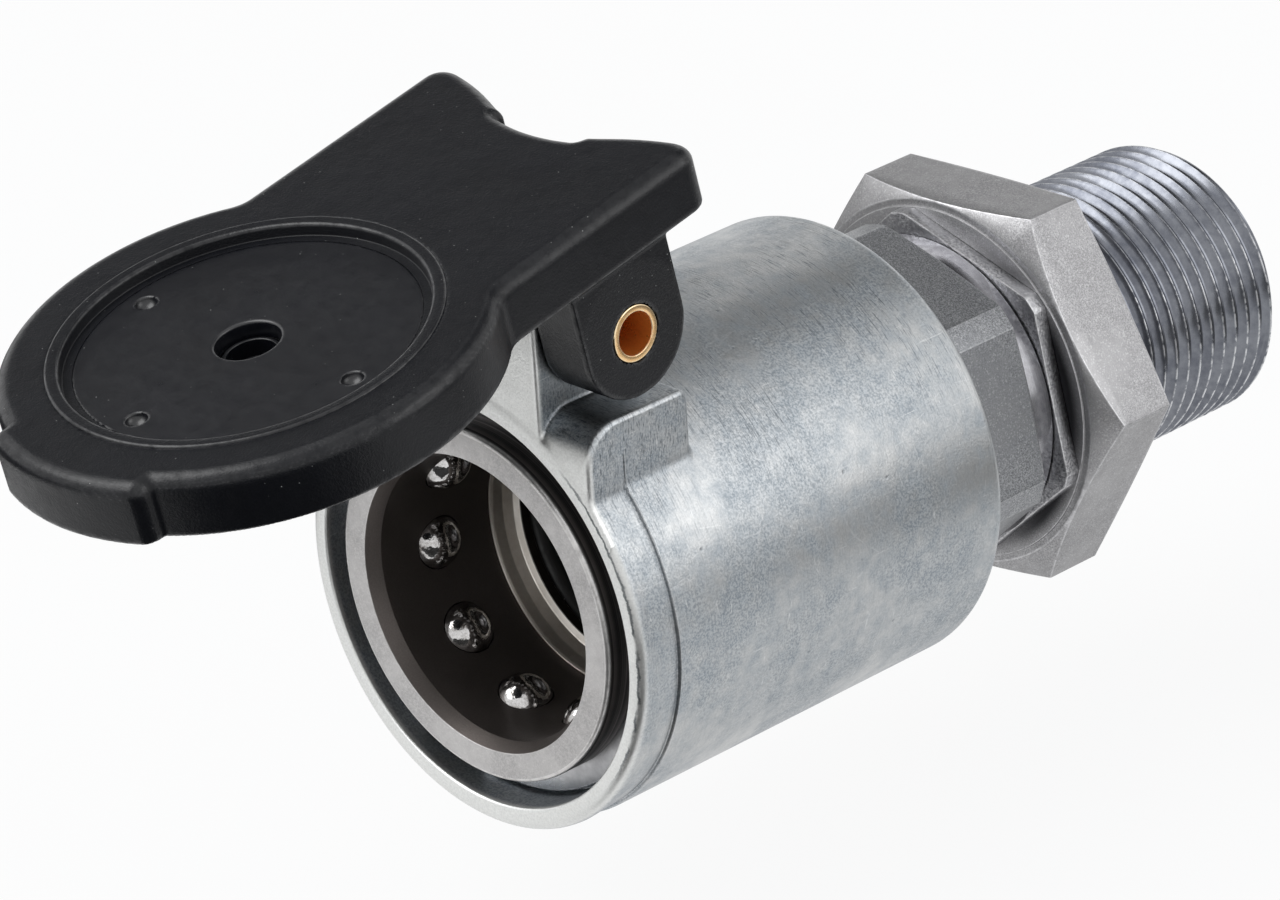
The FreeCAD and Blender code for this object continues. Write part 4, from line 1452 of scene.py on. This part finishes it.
@dataclass
class Adapter:
    """The hexagon, the thin flange and the threaded tail."""

    flats: float = 27.0
    turn: float = 17.5
    corner_radius: float = 15.0
    rear: float = 50.0
    waist: float = 13.46
    waist_start: float = 50.3
    waist_end: float = 52.35
    flange: float = 52.55
    flange_corner: float = 15.2
    thread_radius: float = 12.0
    pitch: float = 1.5
    depth: float = 0.58
    crest_highlight: float = 0.12
    thread_end: float = 82.8
    chamfer: float = 1.2
    columns: int = 128

    def six_sided(self, outline: list[Pair], corner_radius: float) -> Solid:
        """Turn an outline and cut it to the adapter's hexagon.

        Args:
            outline: closed outline of (radius, station) points.
            corner_radius: how far its turned corners reach.
        Returns:
            The shape.
        """
        strip = math.degrees(math.acos(self.flats / 2 / corner_radius))
        return turned_hexagon(outline, self.flats, self.turn, (strip,))

    def thread_reach(self, along: float) -> float:
        """Radius of the thread's outline at a distance along one pitch."""
        valley = max(0.0, along - self.crest_highlight) / (self.pitch - self.crest_highlight)
        return self.thread_radius - self.depth * math.sin(math.pi * valley) ** 0.85

    def tail(self) -> Solid:
        """The tail with its helical thread, its chamfered end and its bore.

        Returns:
            The shape.
        """
        inside = rounded([
            (9.05, self.thread_end, 0.0), (8.05, 78.1, 0.2), (8.05, 74.3, 0.0), (6.0, 74.3, 0.0),
            (6.0, PANEL_SEAT, 0.0)])
        turns = int((self.thread_end - PANEL_SEAT) / self.pitch) + 2
        stops = (0.0, 0.1, 0.17, 0.28, 0.45, 0.65, 0.8, 0.95, 1.15, 1.32, 1.43)
        rows = []
        for c in range(self.columns + 1):
            part = c / self.columns
            a = 2 * math.pi * part
            column = []
            for k in range(-1, turns):
                for s in stops:
                    y = PANEL_SEAT + (k + part) * self.pitch + s
                    held = min(max(y, PANEL_SEAT), self.thread_end)
                    along = (held - PANEL_SEAT - part * self.pitch) % self.pitch
                    r = self.thread_reach(along) if held != y else self.thread_reach(s)
                    r = min(r, self.thread_radius - max(0.0, held - self.thread_end + self.chamfer))
                    column.append((r, held))
            for r, y in column + inside:
                rows.append((r * math.sin(a), y, r * math.cos(a)))
        return Solid(np.array(rows), band_faces(self.columns + 1, len(rows) // (self.columns + 1), False))

    def build(self, finishes: Finishes) -> None:
        """Build the adapter's pieces.

        Args:
            finishes: the coupling's finishes.
        """
        zinc = (finishes, "adapter_zinc", Body.ROOT, ("adapter_body",))
        hexagon = self.six_sided([
            (9.2, 33.5), (self.corner_radius, 33.5), (self.corner_radius, self.rear),
            (self.waist, self.waist_start), (9.2, self.waist_start)], self.corner_radius)
        add_piece("adapter_hexagon", hexagon, *zinc, sharp=28.0, bevel=0.07)
        waist = turned(rounded([
            (9.2, self.waist_start - 0.1, 0.0), (self.waist, self.waist_start - 0.1, 0.0),
            (self.waist, self.waist_end, 0.06),
            (self.waist - 0.5, self.waist_end, 0.0), (self.waist - 0.5, self.flange + 0.1, 0.0),
            (9.2, self.flange + 0.1, 0.0)]), 240)
        add_piece("adapter_waist", waist, *zinc, "waist_steel")
        flange = self.six_sided([
            (9.2, self.flange), (self.flange_corner, self.flange), (self.flange_corner, PANEL_SEAT),
            (9.2, PANEL_SEAT)], self.flange_corner)
        add_piece("thin_flange", flange, *zinc, "flange_zinc", sharp=28.0, bevel=0.15)
        collar = turned(rounded([(11.1, 32.0, 0.1), (16.9, 32.0, 0.2), (16.9, 34.0, 0.2), (11.1, 34.0, 0.0)]))
        add_piece("spring_collar", collar, *zinc)
        add_piece("threaded_tail", self.tail(), *zinc, "thread_zinc", sharp=20.0)


@dataclass
class PanelNut:
    """The nut that clamps the panel against the flange."""

    flats: float = 32.0
    thickness: float = 7.4
    face_radius: float = 15.3
    face_height: float = 0.2
    edge: float = 0.15
    corner_angle: float = 27.0
    rear_angle: float = 6.0
    turn: float = -1.4
    bore: float = 12.05

    def build(self, finishes: Finishes) -> None:
        """Build the nut.

        Args:
            finishes: the coupling's finishes.
        """
        start, end = PANEL_SEAT, PANEL_SEAT + self.thickness
        shoulder = start + self.face_height
        rim = self.flats / 2 - self.edge
        outside = self.flats / 2 / math.cos(math.pi / 6) + 1
        drop = (outside - rim) * math.tan(math.radians(self.corner_angle))
        rear_drop = (outside - rim) * math.tan(math.radians(self.rear_angle))
        outline = [
            (self.bore, start + 0.6), (self.bore + 0.6, start), (self.face_radius, start),
            (self.face_radius, shoulder),
            (rim, shoulder), (outside, shoulder + drop), (outside, end - rear_drop), (rim, end),
            (self.bore + 0.6, end), (self.bore, end - 0.6)]
        nut = turned_hexagon(outline, self.flats, self.turn)
        add_piece("bulkhead_nut", nut, finishes, "nut_zinc", Body.NUT, ("bulkhead_nut",), sharp=28.0,
                  bevel=0.1)


@dataclass
class DustCap:
    """The moulded cap, made in its own frame: hinge axis at the origin, disc towards -Y, outside up."""

    pose: float = 12.25
    station: float = HINGE_STATION
    height: float = HINGE_HEIGHT
    disc: float = 19.3
    under: float = 6.1
    top: float = 11.2
    edge: float = 1.25
    lower_edge: float = 0.25
    neck_half: float = 14.4
    neck_tail: float = 10.5
    neck_corner: float = 2.4
    horn_slope: float = 0.44
    horn_root: float = 7.4
    step_half: float = 4.6
    notch_floor: float = 6.05
    notch_radius: float = 16.4
    tab_half: float = 8.2
    tab_reach: float = 1.2
    ear_outer: float = 14.1
    ear_inner: float = 9.15
    ear_radius: float = 5.25
    recess: float = 15.5
    insert: float = 13.4
    insert_top: float = 10.3
    insert_floor: float = 8.7
    dimple_circle: float = 11.5
    hole: float = 2.55
    plate_hole: float = 2.3
    pin_hole: float = 2.34

    def placed(self, p: np.ndarray) -> np.ndarray:
        """Move points from the cap's frame to its half-open place on the hinge.

        Args:
            p: places in the cap's frame.
        Returns:
            The same places, from the sleeve's rim.
        """
        a = math.radians(self.pose)
        y = p[:, 1] * math.cos(a) - p[:, 2] * math.sin(a) + self.station
        z = p[:, 1] * math.sin(a) + p[:, 2] * math.cos(a) + self.height
        return np.stack([p[:, 0], y, z], -1)

    def outline_field(self, x: np.ndarray, y: np.ndarray) -> np.ndarray:
        """Distance in plan to the disc, the thumb tab and the horned neck.

        Args:
            x: places across.
            y: places along, from the hinge.
        Returns:
            The distances.
        """
        far = np.hypot(x, y + self.height)
        tab = corner(far - self.disc - self.tab_reach, np.abs(x) - self.tab_half, 0.9)
        tab = np.maximum(tab, y + self.height)
        side = np.abs(x) - self.neck_half
        neck = corner(side, y - self.neck_tail, self.neck_corner)
        neck = np.maximum(neck, -self.height - y)
        rise = (np.abs(x) - self.step_half) * self.horn_slope
        slope = (y - self.horn_root - rise) / math.hypot(1, self.horn_slope)
        neck = blend_max(neck, blend_min(slope, y - self.horn_root, 0.5), 2.0)
        pocket = np.hypot(x, y - self.notch_floor - self.notch_radius) - self.notch_radius
        neck = blend_max(neck, -corner(pocket, np.abs(x) - self.step_half, 0.25), 0.3)
        return blend_min(blend_min(far - self.disc, tab, 0.25), neck, 0.7)

    def plate_field(self, p: np.ndarray) -> np.ndarray:
        """Distance to the plate with its pocket, its centre hole and its ears.

        Args:
            p: places in the cap's frame.
        Returns:
            The distances.
        """
        x, y, z = p.T
        flat = self.outline_field(x, y)
        plate = np.where(z > (self.top + self.under) / 2, corner(flat, z - self.top, self.edge),
                         corner(flat, self.under - z, self.lower_edge))
        hinge = np.hypot(y, z)
        web = corner(np.abs(y) - self.ear_radius, -z, 0.0)
        web = np.maximum(web, z - self.top + 2.0)
        middle = (self.ear_outer + self.ear_inner) / 2
        half = (self.ear_outer - self.ear_inner) / 2
        ear = corner(np.minimum(hinge - self.ear_radius, web), np.abs(np.abs(x) - middle) - half, 0.2)
        shape = blend_min(plate, ear, 0.3)
        far = np.hypot(x, y + self.height)
        pocket = np.maximum(far - self.recess + 0.3, self.insert_floor - z)
        shape = np.maximum(shape, -pocket)
        shape = np.maximum(shape, self.plate_hole - far)
        return np.maximum(shape, self.pin_hole - hinge)

    def insert_field(self, p: np.ndarray) -> np.ndarray:
        """Distance to the disc with its dimples and its hole.

        Args:
            p: places in the cap's frame.
        Returns:
            The distances.
        """
        x, y, z = p[:, 0], p[:, 1] + self.height, p[:, 2]
        far = np.hypot(x, y)
        disc = corner(far - self.insert, z - self.insert_top, 0.05)
        disc = np.maximum(disc, self.insert_floor - z)
        for turn in (0, 90, 180):
            a = math.radians(turn)
            spot = np.hypot(x - self.dimple_circle * math.cos(a), y + self.dimple_circle * math.sin(a))
            cup = np.hypot(spot, (z - self.insert_top) * 1.15) - 0.88
            disc = blend_max(disc, -cup, 0.1)
        return blend_max(disc, self.hole - far, 0.25)

    def about_disc(self, outline: list[Pair], count: int = 192) -> Solid:
        """Turn an outline of (radius, height) points round the disc's own axis."""
        return turned(outline, count).moved(
            lambda p: np.stack([p[:, 0], p[:, 2] - self.height, p[:, 1]], -1)).moved(self.placed)

    def build(self, finishes: Finishes) -> None:
        """Build the cap's pieces.

        Args:
            finishes: the coupling's finishes.
        """
        step = 0.25
        plate = net(self.plate_field, (-20.0, -46.0, -6.0), (20.0, 11.0, 11.8), step).moved(self.placed)
        band = self.about_disc(rounded([
            (13.42, 8.75, 0.0), (15.52, 8.75, 0.0), (15.52, 10.86, 0.0), (15.4, 10.86, 0.0),
            (15.36, 11.36, 0.42), (14.25, 11.3, 0.3), (14.2, 10.29, 0.1), (13.42, 10.29, 0.0)], 6), 240)
        add_piece("dust_cap", Solid.joined([plate, band]), finishes, "cap_black", Body.CAP, ("dust_cap",),
                  sharp=50.0)
        step = 0.13
        disc = net(self.insert_field, (-14.0, -39.0, 8.4), (14.0, -10.8, 10.8), step).moved(self.placed)
        add_piece("cap_insert", disc, finishes, "disc_black", Body.CAP, ("cap_insert",), sharp=50.0)
        plug = self.about_disc(rounded([
            (0.0, 4.9, 0.0), (9.3, 4.9, 0.3), (9.3, 3.3, 0.2), (10.9, 3.3, 0.6), (10.9, 6.1, 0.0),
            (2.28, 6.1, 0.0), (2.28, 9.1, 0.1), (1.95, 9.1, 0.1), (1.95, 7.6, 0.1), (0.0, 7.6, 0.0)], 5))
        add_piece("cap_plug", plug, finishes, "cap_black", Body.CAP, ("cap_plug",))
        lip = self.about_disc(round_outline(10.9, 4.8, 0.75, 20))
        add_piece("cap_lip", lip, finishes, "black_rubber", Body.CAP, ("cap_lip",))


# The room round the coupling


def background_rays(graph: Graph) -> Socket:
    """Tell the rays that see the background: straight, mirrored or passed through.

    Args:
        graph: the graph that asks.
    Returns:
        A mask, 1 for such a ray.
    """
    path = graph.node("ShaderNodeLightPath")
    bent = graph.maths("MAXIMUM", path.outputs["Is Glossy Ray"], path.outputs["Is Transmission Ray"])
    return graph.maths("MAXIMUM", path.outputs["Is Camera Ray"], bent)


def mixed_shader(graph: Graph, factor: object, first: Socket, second: Socket) -> Socket:
    """Mix two shaders.

    Args:
        graph: the graph.
        factor: the second one's share.
        first: the first shader.
        second: the second shader.
    Returns:
        The mixed shader.
    """
    mixed = graph.node("ShaderNodeMixShader")
    for socket, value in zip(mixed.inputs, (factor, first, second)):
        graph.feed(socket, value)
    return mixed.outputs[0]


@dataclass
class Studio:
    """The camera, the lamps, the floor and the background."""

    place: Triple = (0.358207, -0.373119, 0.227271)
    right: Triple = (0.704049, 0.707702, -0.058938)
    up: Triple = (-0.252664, 0.327192, 0.910553)
    ahead: Triple = (-0.663684, 0.626182, -0.40917)
    focal: float = 191.755
    film: float = 36.0
    floor_height: float = -0.03
    floor_reach: float = 3.0
    floor_white: float = 0.91

    def camera(self) -> None:
        """Set the camera where the photograph was taken from."""
        data = bpy.data.cameras.new("view")
        data.sensor_width = self.film
        data.lens = self.focal
        data.clip_start = 0.01
        eye = new_object("view", data)
        back = tuple(-v for v in self.ahead)
        turn = Matrix((self.right, self.up, back)).transposed()
        eye.matrix_world = Matrix.Translation(self.place) @ turn.to_4x4()
        bpy.context.scene.camera = eye

    @staticmethod
    def lamp(name: str, place: Triple, size: float, power: float) -> None:
        """Hang a soft lamp that faces the object.

        Args:
            name: its name.
            place: where it hangs.
            size: its side.
            power: its power.
        """
        data = bpy.data.lights.new(name, "AREA")
        data.shape = "SQUARE"
        data.size = size
        data.energy = power
        lamp = new_object(name, data)
        lamp.location = place
        lamp.rotation_euler = (AIM - Vector(place)).to_track_quat("-Z", "Y").to_euler()

    @staticmethod
    def card(name: str, place: Triple, size: Pair, tone: float,
             flat: bool = False) -> None:
        """Stand a dark card that only reflections show.

        Args:
            name: its name.
            place: its middle.
            size: its width and height.
            tone: how dark it is, 0 for black.
            flat: whether it lies down instead of facing the object.
        """
        mesh = bpy.data.meshes.new(name)
        w, h = (side / 2 for side in size)
        mesh.from_pydata([(-w, -h, 0), (w, -h, 0), (w, h, 0), (-w, h, 0)], [], [(0, 1, 2, 3)])
        card = new_object(name, mesh)
        card.location = place
        if not flat:
            card.rotation_euler = (AIM - Vector(place)).to_track_quat("Z", "Y").to_euler()
        material = bpy.data.materials.new(name)
        material.use_nodes = True
        material.node_tree.nodes.clear()
        graph = Graph(material.node_tree)
        glow = graph.fed("ShaderNodeEmission", color=(tone, tone, tone, 1.0))
        graph.fed("ShaderNodeOutputMaterial", surface=glow.outputs[0])
        mesh.materials.append(material)
        card.visible_camera = False
        card.visible_diffuse = False
        card.visible_shadow = False

    def floor(self) -> None:
        """Lay the pale floor."""
        mesh = bpy.data.meshes.new("floor")
        corners = [(x * self.floor_reach, y * self.floor_reach, self.floor_height)
                   for x, y in ((-1, -1), (1, -1), (1, 1), (-1, 1))]
        mesh.from_pydata(corners, [], [(0, 1, 2, 3)])
        floor = new_object("floor", mesh)
        material, graph, shader, _ = new_material("floor")
        shader.inputs["Base Color"].default_value = (0.86, 0.86, 0.86, 1.0)
        shader.inputs["Roughness"].default_value = 0.8
        glow = graph.node("ShaderNodeEmission").outputs[0]
        pale = graph.times(background_rays(graph), self.floor_white)
        leave = next(n for n in material.node_tree.nodes if n.type == "OUTPUT_MATERIAL")
        graph.feed(leave.inputs["Surface"], mixed_shader(graph, pale, shader.outputs[0], glow))
        mesh.materials.append(material)

    @staticmethod
    def world() -> None:
        """Light the room softly, with a white background for the camera and for reflections."""
        world = bpy.data.worlds.new("studio")
        bpy.context.scene.world = world
        world.use_nodes = True
        world.node_tree.nodes.clear()
        graph = Graph(world.node_tree)
        soft = graph.fed("ShaderNodeBackground", color=(0.9, 0.95, 1.0, 1.0), strength=0.5)
        white = graph.fed("ShaderNodeBackground", color=(1.0, 1.0, 1.0, 1.0), strength=1.0)
        mixed = mixed_shader(graph, background_rays(graph), soft.outputs[0], white.outputs[0])
        graph.fed("ShaderNodeOutputWorld", surface=mixed)

    def build(self) -> None:
        """Set the whole studio."""
        self.camera()
        self.floor()
        self.world()
        self.lamp("key", (-0.35, -0.55, 0.75), 0.8, 6.0)
        self.lamp("side", (0.8, 0.35, 0.5), 0.7, 2.0)
        self.card("dark_above", (-0.12, 0.62, 0.75), (0.5, 0.6), 0.06)
        self.card("dark_over_cap", (-0.68, 0.36, 0.66), (0.6, 0.6), 0.12)
        self.card("dark_right", (0.39, 0.345, self.floor_height + 0.001), (0.68, 0.62), 0.24, True)
        self.card("dark_front", (0.13, -0.21, self.floor_height + 0.001), (0.246, 0.29), 0.05, True)
        self.card("dark_left", (-0.3, -0.15, self.floor_height + 0.001), (0.4, 0.5), 0.05, True)
        bpy.context.scene.view_settings.view_transform = "Standard"


def dress_frame_nodes(finishes: Finishes) -> None:
    """Give every frame node that is still shown the finish of its slot.

    Args:
        finishes: the coupling's finishes.
    """
    slots = {row["node"]: row["material_slot"] for row in frame["record"]["subparts"]}
    for name, node in frame["nodes"].items():
        if not node.hide_render:
            for slot in node.material_slots:
                slot.material = finishes[slots[name]]
            LOG.info("%s keeps its frame mesh as %s", name, slots[name])


def main() -> None:
    """Build the coupling, piece by piece, and the studio round it."""
    logging.basicConfig(level=logging.INFO)
    finishes = Finishes()
    for assembly in (Sleeve(), ValveBody(), Adapter(), PanelNut(), DustCap()):
        assembly.build(finishes)
    dress_frame_nodes(finishes)
    Studio().build()


if __name__ == "__main__":
    main()
